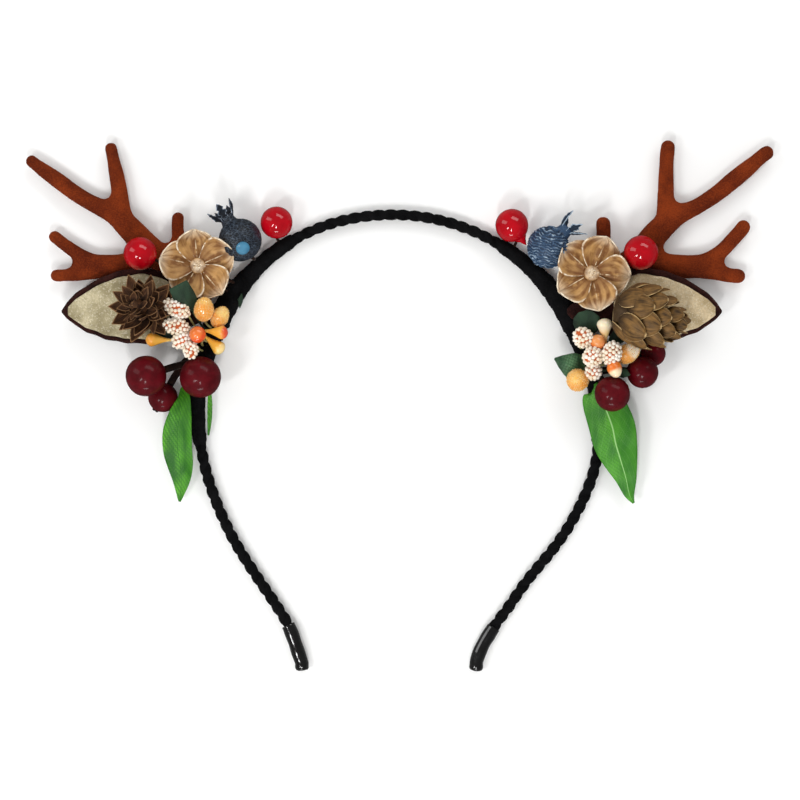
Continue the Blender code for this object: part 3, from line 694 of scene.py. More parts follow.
@dataclass(frozen=True)
class DryBlade(Finish):
    """Dried scales, petals and sepals, with streaks, lighter rims, painted shade and highlight.

    Attributes:
        dark: colour of the streaks, and of the painted shade at the root and in the slits.
        body: main colour.
        rim: colour of the rim.
        line: colour of the line down the middle; on the pod a painted highlight on its crest.
        rim_width: width of the rim as a share of the half width.
        line_width: width of the middle line as a share of the half width.
        streak: size of a streak across.
        root: how much painted shade darkens the root, where the blades crowd together.
        gloss: roughness.
        slit: how much painted shade darkens the slits beside the middle line.
        break_up: how much the rim and the line are broken up.
        tip: how much of the rim's colour spreads over the tip, as a painted highlight.
    """

    dark: str
    body: str
    rim: str
    line: str
    rim_width: float = 0.12
    line_width: float = 0.05
    streak: float = 0.05
    root: float = 0.6
    gloss: float = 0.55
    slit: float = 0.4
    break_up: float = 0.3
    tip: float = 0.0

    def sockets(self, graph: Graph) -> dict[str, object]:
        """Lays streaks, painted shade and highlight, a line and a rim over each other.

        Args:
            graph: the material's graph.

        Returns:
            What feeds the shader.
        """
        share, place = graph.on_surface("share"), graph.on_object()
        widths = {"Rim": self.rim_width, "Line": self.line_width}
        masks = graph.group(Effects.rim(), Vector=share, **widths)
        line, length = masks["Line"], masks["Along"]
        stretched = graph.vector("MULTIPLY", share, (1 / self.streak, 1.6, 1.0))
        streaks = graph.cloud(graph.vector("ADD", stretched, graph.scale(place, 60.0)), 1.0, 5.0)
        cloud = graph.between(streaks, 0.36, 0.62)
        colour = graph.tint(linear(self.dark), self.body, cloud)
        patches = graph.patches(place, 2.2 * MM, 0.2, self.dark, self.body)
        colour = graph.mix(0.4, colour, patches)
        # Painted shade: darker towards the root, where the blades crowd together.
        colour = graph.tint(colour, self.dark, graph.between(length, 0.5, 0.05), self.root)
        # Painted highlight: the rim's colour spread over the tip.
        spread = graph.between(graph.math("MULTIPLY_ADD", cloud, 0.1, length), 0.70, 1.1)
        colour = graph.tint(colour, self.rim, spread, self.tip)
        # Painted shade in the slits beside the middle line, short of the tip.
        beside = graph.between(masks["Across"], 0.34, 0.14)
        broken = graph.between(graph.noise(place, 1.8 * MM), 0.38, 0.58)
        inner = graph.between(length, 0.86, 0.60)
        colour = graph.tint(colour, self.dark, beside, inner, broken, self.slit)
        low, high = self.break_up - 0.08, self.break_up + 0.15
        ragged = graph.between(graph.noise(place, 1.6 * MM), low, high)
        # The middle line, fading towards the tip; on the pod a painted highlight on the crest.
        fading = graph.between(length, 0.85, 0.35)
        colour = graph.tint(colour, self.line, fading, line, ragged)
        colour = graph.tint(colour, self.rim, masks["Rim"], ragged)
        return {
            "Base Color": colour,
            "Normal": graph.bump(graph.math("MULTIPLY_ADD", line, 0.4, streaks), 0.22 * MM),
            "Roughness": graph.math("MULTIPLY_ADD", cloud, -0.15, self.gloss + 0.15),
            "Specular IOR Level": 0.4,
        }


@dataclass(frozen=True)
class Frosted(Finish):
    """Blue skin with silver on its wrinkles, which the mesh marks.

    Attributes:
        skin: colour in the furrows.
        flank: colour of the slopes.
        silver: colour on the wrinkles.
        hair: how much fine silver scratches show away from the wrinkles.
        frost: height from which a wrinkle is silver.
    """

    skin: str
    flank: str
    silver: str
    hair: float = 0.3
    frost: float = 0.84

    def sockets(self, graph: Graph) -> dict[str, object]:
        """Puts silver on the wrinkles and in fine scratches.

        Args:
            graph: the material's graph.

        Returns:
            What feeds the shader.
        """
        place = graph.on_object()
        ridge = graph.add("ShaderNodeAttribute", attribute_name="ridge").outputs["Fac"]
        fine = graph.noise(place, 0.35 * MM, 4.0)
        long = graph.vector("MULTIPLY", place, (1.0, 1.7, 1.0))
        cells = {"Vector": long, "Scale": 1 / (1.1 * MM)}
        lines = graph.add("ShaderNodeTexVoronoi", cells, feature="DISTANCE_TO_EDGE")
        scratch = graph.times(graph.between(lines.outputs["Distance"], 0.09, 0.0), self.hair)
        rise = graph.math("MULTIPLY_ADD", fine, 0.35, ridge)
        silver = graph.math(
            "MAXIMUM", graph.between(rise, self.frost, self.frost + 0.35), scratch
        )
        slope = graph.between(graph.math("MULTIPLY_ADD", fine, 0.4, ridge), 0.30, 0.80)
        colour = graph.tint(linear(self.skin), self.flank, slope)
        return {
            "Base Color": graph.tint(colour, self.silver, silver),
            "Roughness": graph.math("MULTIPLY_ADD", silver, -0.15, 0.5),
            "Metallic": graph.times(silver, 0.12),
            "Normal": graph.bump(fine, 0.06 * MM),
            "Specular IOR Level": 0.45,
        }


@dataclass(frozen=True)
class Glitter(Finish):
    """Pale cloth with flakes, each flake turned and coloured its own way.

    Attributes:
        dark: colour between the flakes, and the painted shade of tilted flakes.
        light: colour of the flakes.
        flake: size of a flake.
    """

    dark: str
    light: str
    flake: float = 0.36 * MM

    def sockets(self, graph: Graph) -> dict[str, object]:
        """Gives each flake its own shine and tilt, with painted shade and a painted glint.

        Args:
            graph: the material's graph.

        Returns:
            What feeds the shader.
        """
        place = graph.on_object()
        flakes = graph.add("ShaderNodeTexVoronoi", {"Vector": place, "Scale": 1 / self.flake})
        chance, tilt, _ = graph.parts(flakes.outputs["Color"])
        # Flakes that glint, with more metal and less roughness below.
        glints = graph.between(chance, 0.70, 1.0)
        colour = graph.patches(place, 5 * MM, 0.2, self.dark, self.light)
        # Painted shade: each flake darker the more it is tilted.
        colour = graph.tint(colour, self.dark, tilt, 0.5)
        return {
            # Painted glint: pale colour on the flakes that glint.
            "Base Color": graph.tint(colour, "f6ecd2", glints, 0.5),
            "Metallic": graph.times(glints, 0.3),
            "Roughness": graph.math("MULTIPLY_ADD", glints, -0.35, 0.7),
            "Normal": graph.bump(tilt, 0.10 * MM),
            "Specular IOR Level": 0.5,
        }


@dataclass(frozen=True)
class Cloth(Finish):
    """Woven or satin leaf cloth with a vein down the middle.

    Attributes:
        dark: colour between the threads and of the shaded half.
        light: colour of the threads.
        vein: colour of the vein.
        thread: width of a thread.
        gap: how dark the gaps between the threads are.
        vein_width: width of the vein as a share of the half width.
        ribs: how strongly side veins show.
        roughness: roughness of the threads.
        sheen: strength of the sheen.
        stripe: how strongly slanting ribs of the satin show.
        shade: how much darker the half before the vein is.
    """

    dark: str
    light: str
    vein: str
    thread: float = 0.36 * MM
    gap: float = 0.45
    vein_width: float = 0.05
    ribs: float = 0.0
    roughness: float = 0.6
    sheen: float = 0.3
    stripe: float = 0.0
    shade: float = 0.0

    def sockets(self, graph: Graph) -> dict[str, object]:
        """Lays shade, ribs, gaps between threads and veins over each other.

        Args:
            graph: the material's graph.

        Returns:
            What feeds the shader.
        """
        cloth, share = graph.on_surface("cloth"), graph.on_surface("share")
        threads = graph.group(Effects.weave(), Vector=cloth, Threads=1 / self.thread)
        masks = graph.group(Effects.rim(), Vector=share, Rim=0.06, Line=self.vein_width)
        long = graph.vector("MULTIPLY", graph.on_object(), (1.0, 0.35, 1.0))
        colour = graph.patches(long, 4 * MM, 0.22, self.dark, self.light)
        x, y, _ = graph.parts(cloth)
        slope = graph.math("MULTIPLY_ADD", x, 0.8, graph.times(y, 0.6))
        rib = graph.math("SINE", graph.times(slope, 2 * math.pi / (0.95 * MM)))
        rib = graph.times(graph.between(rib, 0.3, -0.9), self.stripe)
        half = graph.times(graph.between(graph.parts(share)[0], 0.52, 0.46), self.shade)
        colour = graph.tint(colour, self.dark, graph.math("MAXIMUM", rib, half))
        gaps = graph.between(threads["Height"], 0.55, 0.10)
        colour = graph.tint(colour, self.dark, gaps, self.gap)
        slant = graph.math("MULTIPLY_ADD", masks["Across"], -0.35, masks["Along"])
        wave = graph.math("ABSOLUTE", graph.math("SINE", graph.times(slant, 28.0)))
        veins = graph.times(graph.between(wave, 0.22, 0.0), self.ribs)
        height = graph.math("MULTIPLY_ADD", masks["Line"], 0.8, threads["Height"])
        veins = graph.math("MAXIMUM", masks["Line"], veins)
        return {
            "Base Color": graph.tint(colour, self.vein, veins),
            "Normal": graph.bump(height, 0.05 * MM),
            "Roughness": graph.math("MULTIPLY_ADD", threads["Mask"], 0.15, self.roughness),
            "Sheen Weight": self.sheen,
            "Sheen Roughness": 0.3,
            "Sheen Tint": linear(self.light),
            "Specular IOR Level": 0.4,
        }


@dataclass(frozen=True)
class Floor(Finish):
    """Plain matt floor, dimmer where gloss mirrors it.

    Attributes:
        colour: its colour.
        mirrored: its colour in gloss.
    """

    colour: str = "fbfbfa"
    mirrored: str = "707070"

    def sockets(self, graph: Graph) -> dict[str, object]:
        """A matt pale colour that depends on the kind of ray."""
        glossy = graph.add("ShaderNodeLightPath").outputs["Is Glossy Ray"]
        colour = graph.tint(linear(self.colour), self.mirrored, glossy)
        return {"Base Color": colour, "Roughness": 0.9, "Specular IOR Level": 0.1}


VELVET = Pile("black_velvet", "020203", "0d0d0f", sheen=0.14, glow="5a5a62")
FLOCK = Pile(
    "rust_flock", "521a06", "82330f", tuft=0.35 * MM, stroke=9 * MM, depth=0.08 * MM, sheen=0.25,
    glow="b0602a",
)
FELT = Pile("dark_felt", "1c0b0a", "3a1c18", tuft=0.4 * MM, sheen=0.2, glow="6a4038")
DARK_STEM = Pile("stem_tape", "120b08", "2c1a12", tuft=0.3 * MM, sheen=0.1)
CAP = Lacquer("black_tube", "020202", "0a0a0b", roughness=0.15, dimple=0.05 * MM)
RED = Lacquer(
    "red_lacquer", "a00010", "bc0216", roughness=0.4, dimple=0.01 * MM, blotch=5 * MM,
    specular=0.03,
)
BURGUNDY = Lacquer(
    "burgundy_lacquer", "46030a", "5e0612", roughness=0.50, coat=0.2, coat_roughness=0.14,
    dimple=0.05 * MM, specular=0.08,
)
BLUE_DOT = Lacquer("blue_dot", "2d6a8c", "3f86a8", roughness=0.5, coat=0.2)
BEAD = Lacquer("cream_bead", "f2dfc0", "fffaf0", roughness=0.35, coat=0.4, coat_roughness=0.15)
BEAD_CORE = Lacquer("rust_core", "a8450f", "d9661c", roughness=0.6, coat=0.0)
SUGAR = Lacquer("sugar_grain", "f2ac48", "ffe0a0", roughness=0.12, coat=1.0, blotch=0.9 * MM)
CRUMB = Lacquer("pod_crumb", "d8b888", "fff4e0", roughness=0.6, coat=0.0, blotch=0.8 * MM)
WIRE = Lacquer("pale_wire", "8f8a52", "c4b878", roughness=0.6, coat=0.0)
# The pod's pale tip and middle line are painted highlight; its dark root and slits painted shade.
POD = DryBlade(
    "dried_pod", "76481e", "cb9c5e", "f9ebd2", "f2dcb6", rim_width=0.085, line_width=0.035,
    streak=0.13, root=0.85, slit=0.85, break_up=0.46, tip=0.5,
)
# The cone scales' darker roots are painted shade under the scales above them.
DARK_SCALE = DryBlade(
    "dark_cone_scale", "2a160a", "6c4424", "8c6640", "4a2f18", rim_width=0.08, line_width=0.02,
    streak=0.09, root=0.9, gloss=0.7,
)
LIGHT_SCALE = DryBlade(
    "light_cone_scale", "3a2609", "86602a", "d2b07a", "6c4c22", rim_width=0.06, line_width=0.02,
    streak=0.09, root=0.9,
)
NAVY_SEPAL = DryBlade(
    "navy_sepal", "080c14", "1e2a3a", "a8b6c8", "202a38", rim_width=0.2, break_up=0.5
)
BLUE_SEPAL = DryBlade("blue_sepal", "101824", "2c4560", "a9bccd", "22303f", rim_width=0.2)
NAVY_FRUIT = Frosted("navy_fruit", "080d15", "121b28", "6c7c8e", hair=0.45, frost=1.08)
BLUE_FRUIT = Frosted("blue_fruit", "132a44", "2a4a6c", "a8bccc", hair=0.1)
GLITTER_LEFT = Glitter("gold_glitter", "968a66", "d2c6a2")
GLITTER_RIGHT = Glitter("warm_glitter", "b29c74", "e8d2aa")
WOVEN = Cloth("dark_leaf_cloth", "0f2415", "2c4a33", "1c3323")
WOVEN_LIGHT = Cloth("green_leaf_cloth", "1c3f26", "68966a", "3a6a44", thread=0.9 * MM, gap=0.9)
SATIN = Cloth(
    "satin_leaf_cloth", "1f620e", "5eb41c", "2a6a14", thread=0.62 * MM, roughness=0.36,
    sheen=0.03, ribs=0.12, vein_width=0.03, stripe=0.6, shade=0.3,
)
SATIN_VEINED = Cloth(
    "veined_leaf_cloth", "287212", "56a824", "98cc7c", thread=0.5 * MM, roughness=0.36,
    sheen=0.03, ribs=0.12, vein_width=0.045, stripe=0.35, shade=0.35,
)
ORANGE_SUGAR = Tinted("orange_sugar", "dc7814", "f0982c", "f8bc58", "sugared_bud", 0.7, 0.30)
YELLOW_SUGAR = Tinted("yellow_sugar", "e08020", "f0a030", "f8d27a", "sugared_bud", 0.5, 0.35)
WHITE_SUGAR = Tinted("white_sugar", "ea8618", "f29c30", "fdf2dc", "sugared_bud", 0.5, 0.30)
RED_ORANGE = Tinted("red_orange", "d84010", "e34c14", "ef7c34", "orange_bud", 0.7)
SOFT_ORANGE = Tinted("soft_orange", "e06818", "ea7c2c", "f4a05c", "orange_bud", 0.6)
ORANGE_CREAM = Tinted("orange_cream", "ea8020", "ee7c20", "fbe4bc", "orange_bud", 0.55)
YELLOW_RED = Tinted("yellow_red", "f4c860", "f4b444", "e4502a", "orange_bud", 0.72)
YELLOW = Tinted("yellow_drop", "f2c050", "f4b844", "f6d890", "yellow_bud", 0.7)
AMBER = Tinted("amber_drop", "f8cc70", "f8b848", "f4a63a", "yellow_bud", 0.6)
CREAM = Tinted("cream_drop", "ee9840", "f8d694", "fbeccb", "cream_bud", 0.45)


# ---- pieces in the making


def quad(row: int, column: int) -> tuple:
    """Row and column of the four corners of a grid's cell."""
    return ((row, column), (row, column + 1), (row + 1, column + 1), (row + 1, column))


def directions(points: Ring) -> Ring:
    """Unit direction of a path at each of its points."""
    ends = [points[0], *points, points[-1]]
    return [(after - before).normalized() for before, after in zip(ends, ends[2:])]


@dataclass
class Draft:
    """One piece in the making: closed bodies in one mesh, each with its finish.

    Attributes:
        name: the name that the finished piece gets.
        finishes: its finishes, in the order of their slots.
    """

    name: str
    finishes: list[Finish] = field(default_factory=list)

    def __post_init__(self) -> None:
        """Starts an empty mesh with its maps."""
        self.mesh = bmesh.new()
        self.mesh.loops.layers.uv.new("share")
        self.mesh.loops.layers.uv.new("cloth")
        self.mesh.verts.layers.float.new("ridge")

    def slot(self, finish: Finish) -> int:
        """Numbers a finish on this piece.

        Args:
            finish: the finish.

        Returns:
            Its number.
        """
        if finish not in self.finishes:
            self.finishes.append(finish)
        return self.finishes.index(finish)

    def face(self, corners: list[tuple], slot: int) -> None:
        """Adds a face.

        Args:
            corners: vertex, share pair and cloth pair of each corner.
            slot: number of its finish.
        """
        made = self.mesh.faces.new([corner[0] for corner in corners])
        made.material_index = slot
        made.smooth = True
        share = self.mesh.loops.layers.uv["share"]
        cloth = self.mesh.loops.layers.uv["cloth"]
        for loop, corner in zip(made.loops, corners):
            loop[share].uv, loop[cloth].uv = corner[1:]

    def loft(self, rings: list[Ring], finish: Finish, marks: tuple | list = ()) -> None:
        """Joins rings of points into one closed body. A ring of one point is a pole.

        Args:
            rings: the rings, from one end to the other.
            finish: the body's finish.
            marks: a mark from 0 to 1 for each point, for finishes that read it.
        """
        slot = self.slot(finish)
        layer = self.mesh.verts.layers.float["ridge"]
        middles = [sum(ring, Vector()) / len(ring) for ring in rings]
        steps = [(second - first).length for first, second in zip(middles, middles[1:])]
        lengths = list(accumulate(steps, initial=0.0))
        rows = [[self.mesh.verts.new(point) for point in ring] for ring in rings]
        for row, heights in zip(rows, marks):
            for vertex, height in zip(row, heights):
                vertex[layer] = height
        count = max(len(row) for row in rows)
        halfway = len(rings) // 2
        girth = 2 * math.pi * max((rings[halfway][0] - middles[halfway]).length, MM)

        def corner(number: int, index: int) -> tuple:
            """Vertex, share pair and cloth pair of a point."""
            row, turn, length = rows[number], index / count, lengths[number]
            pairs = (turn, length / (lengths[-1] or 1.0)), (turn * girth, length)
            return (row[index % len(row)], *pairs)

        for number in range(len(rows) - 1):
            for index in range(count):
                unique = {}
                for spot in quad(number, index):
                    found = corner(*spot)
                    unique.setdefault(found[0], found)
                if len(unique) > 2:
                    self.face(list(unique.values()), slot)
        for number in (0, len(rows) - 1):
            if len(rows[number]) > 1:
                self.face([corner(number, index) for index in range(count)], slot)

    def sheet(self, grid: list, thickness: float, finish: Finish, edge: float = 0.45) -> float:
        """Adds a closed sheet around a grid of points.

        Args:
            grid: rows along the sheet, of points across it.
            thickness: thickness away from the edges.
            finish: the sheet's finish.
            edge: thickness at the edges as a share of the thickness.

        Returns:
            The sheet's area.
        """
        slot, grid = self.slot(finish), grid_array(grid)
        rows, columns = grid.shape[:2]
        normal = np.cross(np.gradient(grid, axis=1), np.gradient(grid, axis=0))
        normal /= np.maximum(np.linalg.norm(normal, axis=2, keepdims=True), 1e-12)
        counts = [np.arange(count) for count in (rows, columns)]
        eases = [np.minimum(count, count[::-1]).clip(0, 2) / 2 for count in counts]
        ease = np.minimum(eases[0][:, None], eases[1][None, :])
        half = thickness / 2 * (edge + (1 - edge) * np.sin(ease * math.pi / 2))
        steps = np.linalg.norm(np.diff(grid, axis=1), axis=2)
        widths = np.concatenate([np.zeros((rows, 1)), np.cumsum(steps, axis=1)], axis=1)
        widths -= widths[:, -1:] / 2
        middle = grid[:, columns // 2]
        lengths = np.concatenate([[0], np.cumsum(np.linalg.norm(np.diff(middle, axis=0), axis=1))])
        levels = []
        for sign in (1.0, -1.0):
            points = grid + normal * half[..., None] * sign
            levels.append([[self.mesh.verts.new(point) for point in row] for row in points])

        def corner(level: int, row: int, column: int) -> tuple:
            """Vertex, share pair and cloth pair of a point."""
            share = (column / (columns - 1), row / (rows - 1))
            return (levels[level][row][column], share, (widths[row, column], lengths[row]))

        for level in (0, 1):
            for row in range(rows - 1):
                for column in range(columns - 1):
                    corners = [corner(level, *spot) for spot in quad(row, column)]
                    self.face(corners if level else corners[::-1], slot)
        border = [(0, column) for column in range(columns)]
        border += [(row, columns - 1) for row in range(1, rows)]
        border += [(rows - 1, column) for column in range(columns - 2, -1, -1)]
        border += [(row, 0) for row in range(rows - 2, 0, -1)]
        for first, second in zip(border, border[1:] + border[:1]):
            ends = (0, first), (0, second), (1, second), (1, first)
            self.face([corner(level, *spot) for level, spot in ends], slot)
        spans = np.cross(np.diff(grid, axis=1)[:-1], np.diff(grid, axis=0)[:, :-1])
        return float(np.linalg.norm(spans, axis=2).sum())

    def tube(self, points: Ring, radii: list[float], finish: Finish, sides: int = 8) -> None:
        """Adds a tube with rounded ends.

        Args:
            points: its middle line.
            radii: its radius at each point.
            finish: its finish.
            sides: how many sides it has.
        """
        ways = directions(points)
        across = two_directions(ways[0])[0]
        rings = []
        for point, along, radius in zip(points, ways, radii):
            across = (across - along * across.dot(along)).normalized()
            rings.append(disc(point, (across, across.cross(along)), radius, sides))
        start = points[0] - ways[0] * radii[0] * 0.5
        stop = points[-1] + ways[-1] * radii[-1] * 0.5
        self.loft([[start], *rings, [stop]], finish)

    def take(self, mesh: bpy.types.Mesh, finish: Finish) -> None:
        """Adds the bodies of a finished mesh, and drops it.

        Args:
            mesh: the mesh.
            finish: its finish.
        """
        slot, before = self.slot(finish), len(self.mesh.faces)
        for name in ("share", "cloth"):
            spare = mesh.attributes.get(name)
            if spare and spare.domain == "POINT":
                mesh.attributes.remove(spare)
        self.mesh.from_mesh(mesh)
        self.mesh.faces.ensure_lookup_table()
        for made in self.mesh.faces[before:]:
            made.material_index = slot
            made.smooth = True
        bpy.data.meshes.remove(mesh)

    def sprinkle(
        self, host: "Draft", kind: Grain, radius: float, finish: Finish, **values: object
    ) -> None:
        """Adds grains that are spread over the surface of another draft.

        Args:
            host: that draft, which is used up.
            kind: kind of grain.
            radius: radius of a grain.
            finish: finish of the grains.
            values: inputs of the recipe.
        """
        grain = grain_object(kind, radius)
        dress = finish.material()
        mesh = Recipes.scatter().run(host.body(), Grain=grain, Finish=dress, **values)
        bpy.data.objects.remove(grain, do_unlink=True)
        self.take(mesh, finish)

    def body(self) -> Object:
        """Turns the draft into an object at the origin, with its faces outwards.

        Returns:
            The object.
        """
        bmesh.ops.recalc_face_normals(self.mesh, faces=self.mesh.faces)
        mesh = bpy.data.meshes.new(self.name)
        self.mesh.to_mesh(mesh)
        self.mesh.free()
        for finish in self.finishes:
            mesh.materials.append(finish.material())
        return placed(self.name, mesh)


def mesh_of(made: Object) -> bpy.types.Mesh:
    """Takes an object's mesh with its modifiers applied, and drops the object.

    Args:
        made: the object.

    Returns:
        The plain mesh.
    """
    graph = bpy.context.evaluated_depsgraph_get()
    mesh = bpy.data.meshes.new_from_object(made.evaluated_get(graph))
    bpy.data.objects.remove(made, do_unlink=True)
    return mesh


def hand_over(made: Object, slot: str, *nodes: str) -> Object:
    """Hands a finished piece to the frame, in place of its nodes.

    Args:
        made: the piece.
        slot: its slot; not used.
        nodes: the nodes.

    Returns:
        The piece.
    """
    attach(made, BODY)
    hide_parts(*nodes)
    log.info("%s: %d faces, for %s", made.name, len(made.data.polygons), ", ".join(nodes))
    return made


def draft_for(node: str) -> Draft:
    """Starts the piece that stands for a node, with the side last in its name."""
    side, rest = node.split("_", 1)
    return Draft(f"{rest}_{side}")


# ---- geometry recipes


class Recipe:
    """A geometry node tree with named inputs.

    Attributes:
        graph: its graph.
        start: its input node.
        identifiers: identifiers of its inputs.
    """

    def __init__(self, name: str, **inputs: object) -> None:
        """Starts the tree.

        Args:
            name: the tree's name.
            inputs: its own inputs, as new_tree takes them.
        """
        self.graph, self.start, self.identifiers = new_tree(
            name, "GeometryNodeTree", Geometry=SHAPE, **inputs, Finish=DRESS
        )

    def __getitem__(self, label: str) -> Socket:
        """An input by its name."""
        return self.start.outputs[label]

    def node(self, kind: str, **inputs: object) -> Socket:
        """First output of a geometry node, whose inputs have underscores for spaces."""
        values = {label.replace("_", " "): value for label, value in inputs.items()}
        return self.graph.add("GeometryNode" + kind, values).outputs[0]

    def chance(self, low: float, high: float, seed: int) -> Socket:
        """A random number for each point."""
        inputs = {2: low, 3: high, 8: self.graph.math("ADD", self["Seed"], float(seed))}
        return self.graph.add("FunctionNodeRandomValue", inputs, data_type="FLOAT").outputs[1]

    def repeat(self, points: Socket, label: str, turn: Socket, size: Socket) -> "Recipe":
        """Ends the tree with an input's object on every point.

        Args:
            points: the points.
            label: the input.
            turn: how it is turned there.
            size: how large it is there.

        Returns:
            The recipe.
        """
        info = self.graph.add("GeometryNodeObjectInfo", {"Object": self[label]})
        shape = info.outputs["Geometry"]
        return self.close(
            self.node("InstanceOnPoints", Points=points, Instance=shape, Rotation=turn, Scale=size)
        )

    def close(self, geometry: Socket) -> "Recipe":
        """Ends the tree in real faces with one finish.

        Args:
            geometry: what it has made.

        Returns:
            The recipe.
        """
        tree = self.graph.tree
        tree.interface.new_socket("Geometry", in_out="OUTPUT", socket_type=SHAPE)
        real = self.node("RealizeInstances", Geometry=geometry)
        dressed = self.node("SetMaterial", Geometry=real, Material=self["Finish"])
        self.graph.add("NodeGroupOutput", {"Geometry": dressed})
        return self

    def run(self, host: Object, **values: object) -> bpy.types.Mesh:
        """Makes a plain mesh from a host, which is dropped.

        Args:
            host: the object that the recipe starts from.
            values: inputs by name, with underscores for spaces.

        Returns:
            The mesh.
        """
        modifier = host.modifiers.new("recipe", "NODES")
        modifier.node_group = self.graph.tree
        for label, value in values.items():
            modifier[self.identifiers[label]] = value
        return mesh_of(host)


class Recipes:
    """The geometry recipes that the pieces use, each built once."""

    @staticmethod
    @cache
    def cord() -> Recipe:
        """Builds strands twisted round a path whose points carry their thickness.

        Returns:
            The recipe.
        """
        recipe = Recipe(
            "Twisted cord", Strand_Radius=1.0 * MM, Offset=0.7 * MM, Pitch=7.6 * MM, Sides=10,
            Fuzz=0.1 * MM, Fuzz_Size=0.6 * MM,
        )
        graph = recipe.graph
        path = recipe.node("MeshToCurve", Mesh=recipe["Geometry"])
        thick = recipe.node("InputNamedAttribute", Name="thickness")
        outward = graph.vector("CROSS_PRODUCT", tuple(FRONT), recipe.node("InputTangent"))
        length = graph.add("GeometryNodeSplineParameter").outputs["Length"]
        turn = graph.times(graph.math("DIVIDE", length, recipe["Pitch"]), 2 * math.pi)
        reach = graph.times(recipe["Offset"], thick)
        sides, radius = recipe["Sides"], recipe["Strand Radius"]
        profile = recipe.node("CurvePrimitiveCircle", Resolution=sides, Radius=radius)
        joined = graph.add("GeometryNodeJoinGeometry")
        for phase in (0.0, math.pi):
            angle = graph.math("ADD", turn, phase)
            side = graph.times(graph.math("COSINE", angle), reach)
            rise = graph.times(graph.math("SINE", angle), reach)
            shift = graph.vector("ADD", graph.scale(outward, side), graph.joined(z=rise))
            moved = recipe.node("SetPosition", Geometry=path, Offset=shift)
            sized = recipe.node("SetCurveRadius", Curve=moved, Radius=thick)
            strand = recipe.node("CurveToMesh", Curve=sized, Profile_Curve=profile, Fill_Caps=True)
            graph.feed(joined.inputs[0], strand)
        fine = graph.math("DIVIDE", 1.0, recipe["Fuzz Size"])
        place = graph.scale(recipe.node("InputPosition"), fine)
        amount = graph.math("SUBTRACT", graph.cloud(place, 1.0, 2.0), 0.5)
        push = graph.scale(recipe.node("InputNormal"), graph.times(amount, recipe["Fuzz"]))
        return recipe.close(recipe.node("SetPosition", Geometry=joined.outputs[0], Offset=push))

    @staticmethod
    @cache
    def scatter() -> Recipe:
        """Builds grains of one kind spread over a surface at a least distance.

        Returns:
            The recipe.
        """
        recipe = Recipe(
            "Grains on a surface", Grain=THING, Spacing=1.0 * MM, Small=0.8, Large=1.0, Lift=0.0,
            Tilt=0.0, Seed=1,
        )
        graph, seed, spacing = recipe.graph, recipe["Seed"], recipe["Spacing"]
        crowd = graph.math("DIVIDE", 40.0, graph.math("POWER", spacing, 2.0))
        inputs = {"Mesh": recipe["Geometry"], "Distance Min": spacing, "Density Max": crowd}
        spread = graph.add(
            "GeometryNodeDistributePointsOnFaces", {**inputs, "Seed": seed},
            distribute_method="POISSON",
        ).outputs
        sizes = {2: recipe["Small"], 3: recipe["Large"], 8: seed}
        size = graph.add("FunctionNodeRandomValue", sizes, data_type="FLOAT").outputs[1]
        leans = {8: graph.math("ADD", seed, 7.0)}
        for index, sign in ((0, -1.0), (1, 1.0)):
            span = graph.times(recipe["Tilt"], sign)
            leans[index] = graph.joined(span, span, sign * math.pi)
        lean = graph.add("FunctionNodeRandomValue", leans, data_type="FLOAT_VECTOR").outputs[0]
        turned = graph.add(
            "FunctionNodeRotateRotation", {"Rotation": spread["Rotation"], "Rotate By": lean},
            rotation_space="LOCAL",
        ).outputs[0]
        rise = graph.scale(spread["Normal"], recipe["Lift"])
        lifted = recipe.node("SetPosition", Geometry=spread["Points"], Offset=rise)
        return recipe.repeat(lifted, "Grain", turned, size)

    @staticmethod
    @cache
    def spiral() -> Recipe:
        """Builds the scales of a cone on a spiral, from its base to its tip.

        Returns:
            The recipe.
        """
        recipe = Recipe(
            "Scales on a spiral", Scale=THING, Count=60, Length=20 * MM, Core=4 * MM,
            Turn=GOLDEN_TURN, Lean_Base=1.3, Lean_Tip=0.3, Size_Base=1.0, Size_Tip=0.5,
            Ragged=0.1, Seed=1,
        )
        graph, ragged = recipe.graph, recipe["Ragged"]
        line = recipe.node("MeshLine", Count=recipe["Count"], Offset=(0.0, 0.0, 0.0))
        index = recipe.node("InputIndex")
        share = graph.math("DIVIDE", index, graph.math("SUBTRACT", recipe["Count"], 1.0))
        waist = graph.add("ShaderNodeFloatCurve", {"Value": share})
        points = waist.mapping.curves[0].points
        points[0].location, points[1].location = WAIST[0], WAIST[-1]
        for spot in WAIST[1:-1]:
            points.new(*spot)
        waist.mapping.update()
        radius = graph.times(waist.outputs[0], recipe["Core"])
        angle = graph.times(index, recipe["Turn"])

        def from_to(name: str) -> Socket:
            """A number between its values at the base and at the tip."""
            first, last = recipe[name + " Base"], recipe[name + " Tip"]
            return graph.math("MULTIPLY_ADD", share, graph.math("SUBTRACT", last, first), first)

        uneven = recipe.chance(-1.0, 1.0, 3)
        lean = graph.math("MULTIPLY_ADD", uneven, ragged, from_to("Lean"))
        size, odd = from_to("Size"), graph.times(recipe.chance(-0.6, 0.6, 5), ragged)
        spot = graph.joined(
            graph.times(graph.math("COSINE", angle), radius),
            graph.times(graph.math("SINE", angle), radius),
            graph.times(share, recipe["Length"]),
        )
        seats = recipe.node("SetPosition", Geometry=line, Position=spot)
        wobble = graph.times(recipe.chance(-0.7, 0.7, 9), ragged)
        sized = graph.math("MULTIPLY_ADD", odd, size, size)
        return recipe.repeat(seats, "Scale", graph.joined(wobble, lean, angle), sized)


WAIST = ((0.0, 0.55), (0.25, 0.95), (0.5, 1.0), (0.8, 0.62), (1.0, 0.12))


